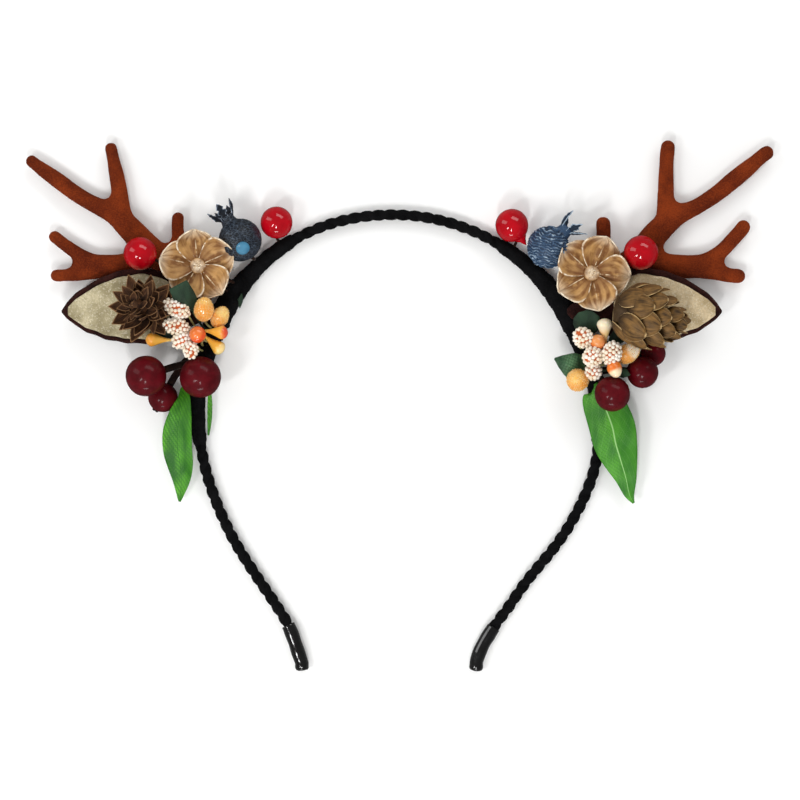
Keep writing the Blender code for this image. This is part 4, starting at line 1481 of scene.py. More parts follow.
def grain_object(kind: Grain, radius: float) -> Object:
    """A small body for the recipes to repeat.

    Args:
        kind: kind of grain.
        radius: its radius.

    Returns:
        The object, which the caller drops.
    """
    mesh = bmesh.new()
    if kind is Grain.BEAD:
        bmesh.ops.create_uvsphere(mesh, u_segments=9, v_segments=6, radius=radius)
    else:
        bmesh.ops.create_icosphere(mesh, subdivisions=1, radius=radius)
    bmesh.ops.scale(mesh, vec=kind.value, verts=mesh.verts)
    data = bpy.data.meshes.new(kind.name)
    mesh.to_mesh(data)
    mesh.free()
    return placed(kind.name, data)


# ---- band


@dataclass
class Band:
    """The velvet cord with a tube on each end.

    Attributes:
        diameter: width of the cord.
        pitch: length of one full turn of the two strands.
        cap_diameter: width of an end tube.
        cap_length: its length.
        slimming: bearings from the crown, and the cord's thickness there.
        head: distance from an end and radius of a tube's rounded end, in outer radii.
    """

    diameter: float = 3.6 * MM
    pitch: float = 7.6 * MM
    cap_diameter: float = 4.4 * MM
    cap_length: float = 15.0 * MM
    slimming: tuple = ((0, 28, 34, 94, 100, 120), (0.86, 0.93, 0.7, 0.7, 1.0, 1.0))
    head: tuple = ((0.0, 0.0), (0.04, 0.42), (0.13, 0.72), (0.30, 0.90), (0.60, 0.99))

    def thickness(self, length: float) -> float:
        """Finds how thick the cord is, which is less on the crown and under the tape.

        Args:
            length: length along the band.

        Returns:
            Its thickness as a share of the full one.
        """
        bearing = abs(float(np.interp(length, ARCH.lengths, ARCH.turns)))
        share = float(np.interp(bearing, *self.slimming))
        inside = min(length, ARCH.length - length) - self.cap_length
        return share * float(np.interp(inside, (-1.5 * MM, 0.5 * MM), (0.62, 1.0)))

    def path(self) -> Object:
        """Draws the cord's centreline, each point with its thickness.

        Returns:
            The line.
        """
        steps = np.arange(2 * MM, ARCH.length - 2 * MM, 0.42 * MM)
        points = [ARCH.at(step)[0] for step in steps]
        mesh = bpy.data.meshes.new("cord_path")
        mesh.from_pydata(points, [(index, index + 1) for index in range(len(points) - 1)], [])
        layer = mesh.attributes.new("thickness", "FLOAT", "POINT")
        layer.data.foreach_set("value", [self.thickness(step) for step in steps])
        return placed("cord_path", mesh)

    def cord(self) -> None:
        """Twists the two strands round the path."""
        mesh = Recipes.cord().run(
            self.path(), Strand_Radius=self.diameter * 0.345, Offset=self.diameter * 0.165,
            Pitch=self.pitch, Sides=12, Fuzz=0.32 * MM, Fuzz_Size=0.5 * MM,
            Finish=VELVET.material(),
        )
        draft = Draft("velvet_cord")
        draft.take(mesh, VELVET)
        hand_over(draft.body(), "velvet", "band")

    def cap(self, node: str, at_start: bool) -> None:
        """Makes the tube on one end, slightly slack over the cord.

        Args:
            node: its node.
            at_start: whether it is on the end where the arch starts.
        """
        outer, end = self.cap_diameter / 2, self.cap_length
        steps = [(along * outer, across * outer) for along, across in self.head]
        for along in np.linspace(1.0 * outer, end, 40):
            steps.append((along, outer * (1 - 0.05 * math.sin(along / (1.9 * MM)) ** 2)))
        steps += [(end + 0.05 * MM, outer * 0.93), (end, outer * 0.84)]
        steps += [(end - 0.6 * MM, outer * 0.78), (end - 0.6 * MM, 0.0)]
        rings = []
        for along, radius in steps:
            centre, outward = ARCH.at(along if at_start else ARCH.length - along)
            rings.append(disc(centre, (outward, FRONT), radius, 28) if radius else [centre])
        draft = draft_for(node)
        draft.loft(rings, CAP)
        hand_over(draft.body(), "cap", node)

    def build(self) -> None:
        """Makes the cord and both tubes."""
        self.cord()
        self.cap("left_end_cap", True)
        self.cap("right_end_cap", False)


@dataclass
class Sided:
    """Something on one side of the headband.

    Attributes:
        side: the side.
    """

    side: Side

    def node(self, name: str) -> str:
        """Name of a frame's node on this side."""
        return self.side.prefix + name

    def place(self, spot: tuple) -> Vector:
        """A place from out, up and height in millimetres from the anchor."""
        return ARCH.place(self.side, *spot)

    def wire(self, seat: tuple[float, float], knee: float) -> tuple[Vector, Vector]:
        """Finds where a wire leaves the tape.

        Args:
            seat: its bearing and lean on the tape.
            knee: how far it goes out before it bends, in millimetres.

        Returns:
            Its foot below the tape's surface, and its knee.
        """
        spot, facing = WRAPS[self.side].point(*seat)
        return spot - facing * 0.5 * MM, spot + facing * knee * MM


@dataclass
class Wrap(Sided):
    """Velvet tape wound round the cord and the stems of a bunch.

    Attributes:
        bearings: where it starts and ends.
        width: its greatest width.
        depth: its greatest depth.
        rows: share of its length from the top, shares of width and depth.
        flatness: how flat it lies below.
        turn: distance between two turns of the tape.
        samples: number of rings that it is drawn with.
        sides: number of points in each.
    """

    bearings: tuple[float, float] = (31.0, 97.0)
    width: float = 7.8 * MM
    depth: float = 6.4 * MM
    rows: tuple = (
        (0.00, 0.58, 0.70), (0.15, 0.64, 0.76), (0.32, 0.88, 0.93), (0.46, 1.00, 1.00),
        (0.62, 0.90, 1.00), (0.80, 0.68, 0.84), (1.00, 0.58, 0.70),
    )
    flatness: float = 1.2
    turn: float = 4.6 * MM
    samples: int = 230
    sides: int = 48

    def point(self, bearing: float, lean: float, proud: float = 1.0) -> tuple[Vector, Vector]:
        """Finds a point on the tape and the direction that it faces.

        Args:
            bearing: where along the arch.
            lean: 0 is the outer side and 90 the front.
            proud: size of the section as a share of the tape's own.

        Returns:
            The point and its direction.
        """
        first, last = self.bearings
        wide, deep = share_of(self.rows, (bearing - first) / (last - first))
        half = wide * self.width / 2 * proud
        middle = deep * self.depth / 2
        centre, outward = ARCH.at(ARCH.length_at(self.side.value * bearing))
        angle = math.radians(lean)
        sink = 1.0 if math.sin(angle) >= 0 else self.flatness
        rise = max(0.0, middle + middle * proud * math.sin(angle) * sink)
        place = Vector((centre.x, centre.y, rise)) + outward * half * math.cos(angle)
        facing = outward * math.cos(angle) * middle + FRONT * math.sin(angle) * half
        return place, facing.normalized()

    def build(self) -> None:
        """Makes the tape with its overlapping turns."""
        first, last = self.bearings
        stop, start = (ARCH.length_at(self.side.value * turn) for turn in (last, first))
        rings = []
        for bearing in np.linspace(first - 0.8, last + 0.8, self.samples):
            along = (bearing - first) / (last - first) * abs(stop - start)
            near = min(bearing - first, last - bearing)
            end = float(np.interp(near, (-0.8, 0.6), (0.80, 1.0)))
            ring = []
            for index in range(self.sides):
                lean = 360 * index / self.sides
                part = (along / self.turn + lean / 360) % 1.0
                lap = 0.07 * (part**3) - 0.01
                place, _ = self.point(bearing, lean, end)
                wave = 0.05 * rough(place, 2.0 * MM, 3) + 0.06 * rough(place, 0.6 * MM, 5)
                ring.append(self.point(bearing, lean, end * (0.95 + lap + wave))[0])
            rings.append(ring)
        poles = [[sum(ring, Vector()) / self.sides] for ring in (rings[0], rings[-1])]
        draft = draft_for(self.node("wrap"))
        draft.loft([poles[0], *rings, poles[1]], VELVET)
        hand_over(draft.body(), "velvet", self.node("wrap"))


WRAPS = {side: Wrap(side) for side in Side}


# ---- antlers


@dataclass
class Antler(Sided):
    """A flocked antler whose tines flow into each other.

    Attributes:
        tines: rows of each tine: out and up as shares of the reach, and the width as a
            share of a full tine's.
        blunt: least width of a tine as such a share.
        reach: length that the shares are of.
        width: width of a full tine.
        depth_share: depth of a tine as a share of its width.
        bearing: where on the tape it stands.
        height: its height above the floor.
        voxel: size of the steps in which the tines are melted.
        web: how much wider they are while they melt.
        sides: number of points round a tine.
    """

    tines: dict[str, tuple]
    blunt: float
    reach: float = 56.0 * MM
    width: float = 8.0 * MM
    depth_share: float = 0.70
    bearing: float = 56.0
    height: float = 3.4 * MM
    voxel: float = 0.42 * MM
    web: float = 1.5 * MM
    sides: int = 20

    def tine(self, draft: Draft, rows: tuple, root: Vector) -> None:
        """Adds one tine, oval and with a round tip.

        Args:
            draft: where it is added.
            rows: its rows.
            root: root of the antler.
        """
        table = smooth_rows(rows, len(rows) * 7)[:-2]
        points = [
            root + Vector((self.side.value * out * self.reach, up * self.reach, 0))
            for out, up, _ in table
        ]
        ways, web = directions(points), self.web
        rings = [[points[0] - ways[0] * 0.3 * MM]]
        for point, along, row in zip(points, ways, table):
            half = max(row[2], self.blunt) * self.width / 2
            square, deep = (along.cross(FRONT), FRONT), half * self.depth_share + web
            rings.append(oval(point, square, half + web, deep, self.sides))
        for turn in (15, 30, 45, 60, 75):
            angle = math.radians(turn)
            middle = point + along * (half * 0.95 + web) * math.sin(angle)
            wide, thick = (half + web) * math.cos(angle), deep * math.cos(angle)
            rings.append(oval(middle, square, wide, thick, self.sides))
        draft.loft([*rings, [point + along * (half * 0.95 + web)]], FLOCK)

    def build(self) -> None:
        """Melts the tines into one body and roughens it like flock."""
        node = self.node("antler")
        seat, facing = WRAPS[self.side].point(self.bearing, 0)
        root = seat + facing * 0.3 * MM
        root.z = self.height
        draft = Draft("antler_tines")
        for rows in self.tines.values():
            self.tine(draft, rows, root)
        body = draft.body()
        melt = body.modifiers.new("melt", "REMESH")
        melt.mode = "VOXEL"
        melt.voxel_size = self.voxel
        soften = body.modifiers.new("soften", "SMOOTH")
        soften.factor = 0.5
        soften.iterations = 24
        mesh = mesh_of(body)
        normals = [vertex.normal.copy() for vertex in mesh.vertices]
        for vertex, normal in zip(mesh.vertices, normals):
            fuzz = 0.05 * rough(vertex.co, 0.7 * MM, 1) + 0.10 * rough(vertex.co, 5 * MM, 2)
            vertex.co += normal * ((fuzz + 0.16) * MM - self.web)
        finished = draft_for(node)
        finished.take(mesh, FLOCK)
        hand_over(finished.body(), "flock", node)


LEFT_TINES = {
    "beam": (
        (0.00, 0.00, 0.90), (0.07, 0.05, 0.92), (0.21, 0.13, 0.98), (0.37, 0.26, 1.00),
        (0.47, 0.36, 0.95), (0.56, 0.45, 0.84), (0.66, 0.50, 0.64), (0.77, 0.56, 0.60),
        (0.88, 0.64, 0.60), (0.99, 0.72, 0.50), (1.045, 0.762, 0.30),
    ),
    "up": (
        (0.50, 0.38, 0.60), (0.53, 0.50, 0.62), (0.55, 0.62, 0.60), (0.575, 0.75, 0.48),
        (0.595, 0.845, 0.28),
    ),
    "branch": (
        (0.38, 0.22, 0.70), (0.52, 0.175, 0.86), (0.66, 0.175, 0.80), (0.75, 0.22, 0.56),
        (0.85, 0.29, 0.46), (0.92, 0.345, 0.26),
    ),
    "prong": (
        (0.58, 0.155, 0.60), (0.70, 0.135, 0.54), (0.82, 0.12, 0.50), (0.915, 0.115, 0.28)
    ),
    "short": (
        (0.15, 0.11, 0.60), (0.20, 0.25, 0.54), (0.22, 0.37, 0.46), (0.217, 0.455, 0.28)
    ),
}
RIGHT_TINES = {
    "beam": (
        (0.00, 0.00, 0.90), (0.08, 0.05, 0.92), (0.22, 0.13, 0.98), (0.36, 0.25, 1.00),
        (0.46, 0.37, 0.98), (0.56, 0.46, 0.84), (0.68, 0.515, 0.60), (0.79, 0.585, 0.62),
        (0.90, 0.675, 0.66), (0.98, 0.74, 0.60), (1.05, 0.80, 0.42), (1.08, 0.82, 0.24),
    ),
    "up": (
        (0.50, 0.40, 0.66), (0.51, 0.53, 0.64), (0.512, 0.67, 0.58), (0.517, 0.79, 0.50),
        (0.524, 0.865, 0.28),
    ),
    "branch": (
        (0.42, 0.22, 0.70), (0.56, 0.185, 0.90), (0.70, 0.19, 0.84), (0.80, 0.25, 0.58),
        (0.87, 0.32, 0.50), (0.93, 0.385, 0.42), (0.945, 0.41, 0.26),
    ),
    "prong": (
        (0.62, 0.165, 0.60), (0.74, 0.155, 0.56), (0.86, 0.135, 0.50), (0.93, 0.13, 0.28)
    ),
    "short": (
        (0.12, 0.08, 0.60), (0.16, 0.23, 0.56), (0.165, 0.36, 0.50), (0.162, 0.44, 0.28)
    ),
}


# ---- ears


@dataclass
class Ear(Sided):
    """A felt ear with glitter cloth on its front.

    Attributes:
        root: how far out of the anchor it starts, in millimetres.
        glitter: finish of its front.
        length: its length.
        width: its greatest width.
        lift: how far up of the anchor its middle line is, in millimetres.
        back_height: height of the felt above the floor.
        back_thickness: thickness of the felt.
        front_height: height of the glitter cloth.
        front_thickness: its thickness.
        border: felt that shows above and beyond the cloth.
        border_below: felt that shows below it.
        front_start: where the cloth starts, as a share of the length.
        rows: share of the length, half widths above and below as shares.
    """

    root: float
    glitter: Finish
    length: float = 48.0 * MM
    width: float = 24.6 * MM
    lift: float = 1.5
    back_height: float = 7.3 * MM
    back_thickness: float = 1.2 * MM
    front_height: float = 8.7 * MM
    front_thickness: float = 1.0 * MM
    border: float = 2.1 * MM
    border_below: float = 1.4 * MM
    front_start: float = 0.30
    rows: tuple = (
        (0.00, 0.06, 0.06), (0.03, 0.20, 0.18), (0.08, 0.26, 0.24), (0.18, 0.52, 0.42),
        (0.32, 0.95, 0.72), (0.46, 1.12, 0.82), (0.60, 1.05, 0.79), (0.72, 0.90, 0.70),
        (0.84, 0.65, 0.52), (0.91, 0.45, 0.36), (0.965, 0.24, 0.18), (1.00, 0.02, 0.02),
    )

    def grid(self, start: float, inset: float, inset_below: float, height: float) -> list:
        """Draws one sheet of the ear, a little wavy like cut cloth.

        Args:
            start: where it starts, as a share of the length.
            inset: how far it stays inside the ear's edge above and at the tip.
            inset_below: the same below.
            height: its height above the floor.

        Returns:
            Rows of points.
        """
        root = ARCH.place(self.side, self.root, self.lift, 0)
        half, last = self.width / 2, 1 - inset / self.length
        grid = []
        for share in np.linspace(start, last, 64):
            above, below = share_of(self.rows, share * 0.999)
            wave = 0.12 * MM * math.sin(share * 47 + height * 9000) * (share < last)
            top = max(above * half - inset, 0.12 * MM) + wave
            bottom = max(below * half - inset_below, 0.12 * MM) - wave
            x = root.x + self.side.value * share * self.length
            row = []
            for part in np.linspace(-1, 1, 31):
                y = root.y + (part * top if part > 0 else part * bottom)
                curl = 0.35 * MM * abs(part) ** 3 * math.sin(math.pi * share)
                sway = 0.12 * MM * rough(Vector((x, y, 0)), 9 * MM, 4)
                row.append((x, y, height + curl + sway))
            grid.append(row)
        return grid

    def layer(
        self, name: str, slot: str, finish: Finish, shape: tuple, flat: tuple, on: str
    ) -> None:
        """Makes one sheet of the ear.

        Args:
            name: its node without the side.
            slot: its slot.
            finish: its finish.
            shape: its rows of points and its thickness.
            flat: its width and length when flat; not used.
            on: node that it rests on, without the side.
        """
        draft = draft_for(self.node(name))
        area = draft.sheet(*shape, finish, edge=0.7)
        made = hand_over(draft.body(), slot, self.node(name))
        self.node(on)

    def build(self) -> None:
        """Makes the felt and the glitter cloth."""
        shape = self.grid(0.0, 0.0, 0.0, self.back_height), self.back_thickness
        self.layer("ear_back", "felt", FELT, shape, (self.width, self.length), "wrap")
        grid = self.grid(self.front_start, self.border, self.border_below, self.front_height)
        shape = grid, self.front_thickness
        flat = (self.width - self.border - self.border_below, self.length * (1 - self.front_start))
        self.layer("ear_front", "glitter_cloth", self.glitter, shape, flat, "ear_back")


# ---- cones


@dataclass
class Cone(Sided):
    """A dried cone with overlapping scales.

    Attributes:
        base: out, up and height of its base in millimetres from the anchor.
        axis: its direction.
        length: its length.
        core: radius of the spindle that carries the scales.
        scale_length: length of its longest scale.
        scale_width: width of that scale.
        count: how many scales it has.
        lean: how far scales open at the base and at the tip, in degrees.
        sizes: sizes of scales at the base and at the tip.
        ragged: how uneven they are.
        point: how pointed a scale is, from 0, round, to 1.
        cup: how deeply a scale is hollowed.
        finish: finish of the scales.
        slot: its slot.
        seed: seed of the scales' differences.
    """

    base: tuple[float, float, float]
    axis: tuple[float, float, float]
    length: float
    core: float
    scale_length: float
    scale_width: float
    count: int
    lean: tuple[float, float]
    sizes: tuple[float, float]
    ragged: float
    point: float
    cup: float
    finish: Finish
    slot: str
    seed: int

    def scale(self) -> Object:
        """Makes one scale along +Z with its outer face towards +X.

        Returns:
            The scale.
        """
        grid = []
        for share in np.linspace(0.0, 1.0, 10):
            full = math.sin(math.pi * min(share**0.8, 1.0) * 0.5) * (1 - share**4) ** 0.5
            sharp = math.sin(math.pi * share**0.7) ** 0.9 if share < 1 else 0.0
            wide = 0.30 * (1 - share) + full * (1 - self.point) + sharp * self.point * 0.95
            half = self.scale_width / 2 * max(0.06, wide)
            tip = 0.10 * self.scale_length * share**3
            row = []
            for part in np.linspace(-1, 1, 9):
                curve = self.cup * (1 - part**2) * math.sin(math.pi * min(share * 0.9 + 0.05, 1))
                row.append((curve - tip * 0.6, part * half, share * self.scale_length))
            grid.append(row)
        draft = Draft("cone_scale")
        draft.sheet(grid, 0.42 * MM, self.finish, edge=0.5)
        return draft.body()

    def build(self) -> None:
        """Sets the scales on a spindle and turns the cone into its place."""
        flat, node, scale = (EAST, NORTH), self.node("cone"), self.scale()
        host = Draft("cone_seed")
        host.loft([[Vector()], disc(FRONT * MM, flat, MM, 4), [FRONT * 2 * MM]], self.finish)
        lean_base, lean_tip = (math.radians(lean) for lean in self.lean)
        mesh = Recipes.spiral().run(
            host.body(), Scale=scale, Count=self.count, Length=self.length * 0.86,
            Core=self.core, Lean_Base=lean_base, Lean_Tip=lean_tip, Size_Base=self.sizes[0],
            Size_Tip=self.sizes[1], Ragged=self.ragged, Seed=self.seed,
            Finish=self.finish.material(),
        )
        bpy.data.objects.remove(scale, do_unlink=True)
        spindle = [[FRONT * (-0.3 * MM)]]
        for share in np.linspace(0.02, 0.98, 14):
            wide = float(np.interp(share, (0, 0.25, 0.5, 0.8, 1), (0.6, 0.95, 1, 0.62, 0.1)))
            middle = FRONT * (share * self.length * 0.88)
            spindle.append(disc(middle, flat, self.core * 1.05 * wide, 16))
        draft = draft_for(node)
        draft.loft([*spindle, [FRONT * (self.length * 0.9)]], self.finish)
        draft.take(mesh, self.finish)
        axis = Vector(self.axis).normalized()
        turn = Matrix((*two_directions(axis), axis)).transposed().to_4x4()
        place = Matrix.Translation(self.place(self.base)) @ turn
        bmesh.ops.transform(draft.mesh, matrix=place, verts=draft.mesh.verts)
        hand_over(draft.body(), self.slot, node)


# ---- things on stems


ROUND = (
    (0.004, 0.13), (0.03, 0.34), (0.12, 0.65), (0.27, 0.89), (0.5, 1.0), (0.73, 0.89),
    (0.88, 0.65), (0.97, 0.34), (0.996, 0.13),
)
OVAL = (
    (0.004, 0.12), (0.05, 0.40), (0.2, 0.80), (0.45, 1.0), (0.72, 0.86), (0.92, 0.50),
    (0.99, 0.18),
)
DROP = (
    (0.0, 0.14), (0.2, 0.26), (0.4, 0.48), (0.6, 0.78), (0.78, 1.0), (0.92, 0.76),
    (0.985, 0.34),
)


class BerryEnd(Enum):
    """What a berry ends in."""

    PLAIN = "nothing"
    DROP = "a drop of lacquer"
    BLOSSOM = "a blossom end"


@dataclass
class Stemmed(Sided):
    """A trimming on a stem that leaves the tape and bends towards it.

    Attributes:
        name: its node without the side.
        seat: bearing and lean on the tape.
        knee: how far the stem goes out before it bends, in millimetres.
        middle: out, up and height from the anchor, in millimetres.
        length: length of the trimming.
        width: width of the trimming.
        aim: its direction, where it isn't the stem's.
    """

    name: str
    seat: tuple[float, float]
    knee: float
    middle: tuple[float, float, float]
    length: float
    width: float
    aim: tuple = ()

    def middle_and_axis(self) -> tuple[Vector, Vector]:
        """Finds where the trimming is.

        Returns:
            Its middle and its direction.
        """
        middle, knee = self.place(self.middle), self.wire(self.seat, self.knee)[1]
        return middle, (Vector(self.aim) if self.aim else middle - knee).normalized()

    def stem(self, draft: Draft, finish: Finish, radius: float) -> None:
        """Adds the stem, as one smooth bend.

        Args:
            draft: where it is added.
            finish: its finish.
            radius: its radius.
        """
        middle, axis = self.middle_and_axis()
        neck = middle - axis * self.length * 0.44
        path = bend(*self.wire(self.seat, self.knee), neck, 9)
        draft.tube(path, [radius] * len(path), finish)

    def turned(
        self, draft: Draft, rows: tuple, finish: Finish, bump: float = 0.0, size: float = MM
    ) -> None:
        """Adds a body turned round the axis.

        Args:
            draft: where it is added.
            rows: share of the length and of the half width.
            finish: its finish.
            bump: height of its bumps.
            size: size of its bumps.
        """
        middle, axis = self.middle_and_axis()
        square = two_directions(axis)
        start = middle - axis * self.length / 2
        rings = [[start]]
        for share, reach in smooth_rows(rows, 26):
            radius = max(reach, 0.03) * self.width / 2
            centre = start + axis * share * self.length
            ring = []
            for point in disc(centre, square, radius, 32):
                swell = 1 + bump * rough(point, size, 6) / max(radius, 1e-6)
                ring.append(centre + (point - centre) * swell)
            rings.append(ring)
        draft.loft([*rings, [start + axis * self.length]], finish)


@dataclass
class Berry(Stemmed):
    """A lacquered berry, with a blossom end or a drop of lacquer where it has one.

    Attributes:
        finish: its finish.
        slot: its slot.
        thick: radius of its stem.
        end: what it ends in.
    """

    finish: Finish = RED
    slot: str = "red_gloss"
    thick: float = 0.45 * MM
    end: BerryEnd = BerryEnd.PLAIN

    def build(self) -> None:
        """Makes the berry and its stem."""
        node = self.node(self.name)
        draft = draft_for(node)
        self.turned(draft, ROUND, self.finish, bump=0.06 * MM, size=4 * MM)
        self.stem(draft, DARK_STEM, self.thick)
        middle, axis = self.middle_and_axis()
        if self.end is BerryEnd.DROP:
            tail = middle + Vector((0.46, -0.62, -0.1)) * self.width * 0.86
            points = [middle.lerp(tail, share) for share in (0.5, 0.72, 0.86, 1.0, 1.08)]
            radii = [radius * MM for radius in (2.6, 1.9, 1.0, 0.5, 0.2)]
            draft.tube(points, radii, self.finish, 16)
        elif self.end is BerryEnd.BLOSSOM:
            across, depth = two_directions(axis)
            for index in range(9):
                angle, reach = index * GOLDEN_TURN, 0.32 * MM * math.sqrt(index)
                spot = middle + axis * self.length * 0.44
                spot = spot + (across * math.cos(angle) + depth * math.sin(angle)) * reach
                top = spot + axis * 0.9 * MM
                radii = [0.3 * MM, 0.26 * MM, 0.1 * MM]
                draft.tube([spot, spot.lerp(top, 0.6), top], radii, DARK_STEM, 6)
        hand_over(draft.body(), self.slot, node)


@dataclass
class StamenHead(Stemmed):
    """A head of cream seed beads on a rust core.

    Attributes:
        bead: radius of a bead.
        seed: seed of their places.
    """

    bead: float = 0.66 * MM
    seed: int = 1

    def build(self) -> None:
        """Makes the core and spreads the beads over it."""
        node, shrink = self.node(self.name), self.bead * 1.1
        core = replace(self, length=self.length - shrink, width=self.width - shrink)
        host, draft = Draft("bead_core"), draft_for(node)
        core.turned(host, OVAL, BEAD_CORE)
        core.turned(draft, OVAL, BEAD_CORE)
        draft.sprinkle(
            host, Grain.BEAD, self.bead, BEAD, Spacing=self.bead * 1.62, Small=0.84, Large=1.06,
            Lift=self.bead * 0.30, Seed=self.seed,
        )
        self.stem(draft, WIRE, 0.32 * MM)
        hand_over(draft.body(), "seed_bead", node)


@dataclass
class Bud(Stemmed):
    """A lacquered bud, with sugar grains where it has them.

    Attributes:
        finish: its finish.
        rows: share of its length and of its half width.
        grains: radius of a grain, or 0.
    """

    finish: Tinted = CREAM
    rows: tuple = OVAL
    grains: float = 0.0

    def build(self) -> None:
        """Makes the bud, its grains and its stem."""
        node = self.node(self.name)
        draft = draft_for(node)
        self.turned(draft, self.rows, self.finish, bump=0.05 * MM, size=2 * MM)
        if self.grains:
            host = Draft("bud_skin")
            self.turned(host, self.rows, self.finish)
            draft.sprinkle(
                host, Grain.SUGAR, self.grains, SUGAR, Spacing=self.grains * 1.5, Small=0.5,
                Large=1.05, Tilt=math.pi, Seed=1,
            )
        self.stem(draft, WIRE, 0.32 * MM)
        hand_over(draft.body(), self.finish.slot, node)


# ---- leaves


@dataclass
class ClothLeaf(Sided):
    """A small leaf of woven cloth on its own wire.

    Attributes:
        name: its node without the side.
        seat: bearing and lean on the tape.
        knee: how far the wire goes out before it bends, in millimetres.
        tip: out, up and height of the tip from the anchor, in millimetres.
        width: width of the blade in millimetres.
        start: where the blade starts between knee and tip.
        cut: how it was cut out.
        finish: its cloth.
    """

    name: str
    seat: tuple[float, float]
    knee: float
    tip: tuple[float, float, float]
    width: float
    start: float
    cut: LeafCut = LeafCut.POINTED
    finish: Finish = WOVEN

    def build(self) -> None:
        """Makes the wire and the blade, folded along its middle."""
        node, tip = self.node(self.name), self.place(self.tip)
        foot, knee = self.wire(self.seat, self.knee)
        along = (tip - knee).normalized()
        across = along.cross(FRONT).normalized()
        upward, base = across.cross(along), knee.lerp(tip, self.start)
        draft = draft_for(node)
        path = bend(foot, knee, base, 7, 1.02)
        draft.tube(path, [0.33 * MM] * len(path), self.finish)
        grid, half = [], self.width * MM / 2
        for share in np.linspace(0, 1, 22):
            (wide,) = share_of(self.cut.value, share)
            centre = base.lerp(tip, share) + upward * 0.5 * MM * math.sin(math.pi * share)
            row = []
            for part in np.linspace(-1, 1, 15):
                fold = half * 0.26 * (1 - abs(part)) * math.sin(math.pi * min(share + 0.15, 1))
                ripple = 0.12 * MM * math.sin(share * 17 + part * 2) * abs(part)
                row.append(centre + across * part * wide * half + upward * (fold + ripple))
            grid.append(row)
        draft.sheet(grid, 0.3 * MM, self.finish)
        hand_over(draft.body(), "woven_leaf", node)


@dataclass
class LongLeaf(Sided):
    """A long satin leaf that hangs beside the band.

    Attributes:
        name: its node without the side.
        seat: bearing and lean on the tape.
        rows: out, up and height of its middle line in millimetres from the anchor, and
            the share of the full width.
        fold: heights of its inner and outer edges over its middle, as shares of the
            half width.
        finish: its cloth.
        width: its full width.
    """

    name: str
    seat: tuple[float, float]
    rows: tuple
    fold: tuple[float, float]
    finish: Finish
    width: float = 12.0 * MM

    def build(self) -> None:
        """Makes the blade, with soft waves along its edges."""
        node, start = self.node(self.name), self.wire(self.seat, 0.9)[1]
        points = [(self.place(row[:3]), row[3]) for row in smooth_rows(self.rows, 64)]
        first, wide = points[0]
        points = [
            (start.lerp(first, share), 0.10 + (wide - 0.10) * share**2)
            for share in (0.0, 0.33, 0.66)
        ] + points
        ways = directions([point for point, _ in points])
        grid = []
        for index, ((point, wide), along) in enumerate(zip(points, ways)):
            across = along.cross(FRONT).normalized()
            upward, share = across.cross(along), index / (len(points) - 1)
            half = max(wide, 0.03) * self.width / 2
            row = []
            for part in np.linspace(-1, 1, 25):
                rise = self.fold[0 if part < 0 else 1] * abs(part) ** 1.3 * half
                wave = 0.30 * MM * abs(part) * math.sin(share * 21 + part * 1.5)
                wave = wave * min(1, half / (3 * MM))
                row.append(point + across * part * half + upward * (rise + wave + 0.2 * MM))
            grid.append(row)
        draft, grid = draft_for(node), grid_array(grid)
        area = draft.sheet(grid, 0.32 * MM, self.finish)
        made = hand_over(draft.body(), "satin_leaf", node)
        spans = np.linalg.norm(np.diff(grid, axis=1), axis=2).sum(axis=1).max()
        length = np.linalg.norm(np.diff(grid[:, 12], axis=0), axis=1).sum()
        if spans >= 10 * MM:
            self.node("wrap")


# ---- pods and pomegranates


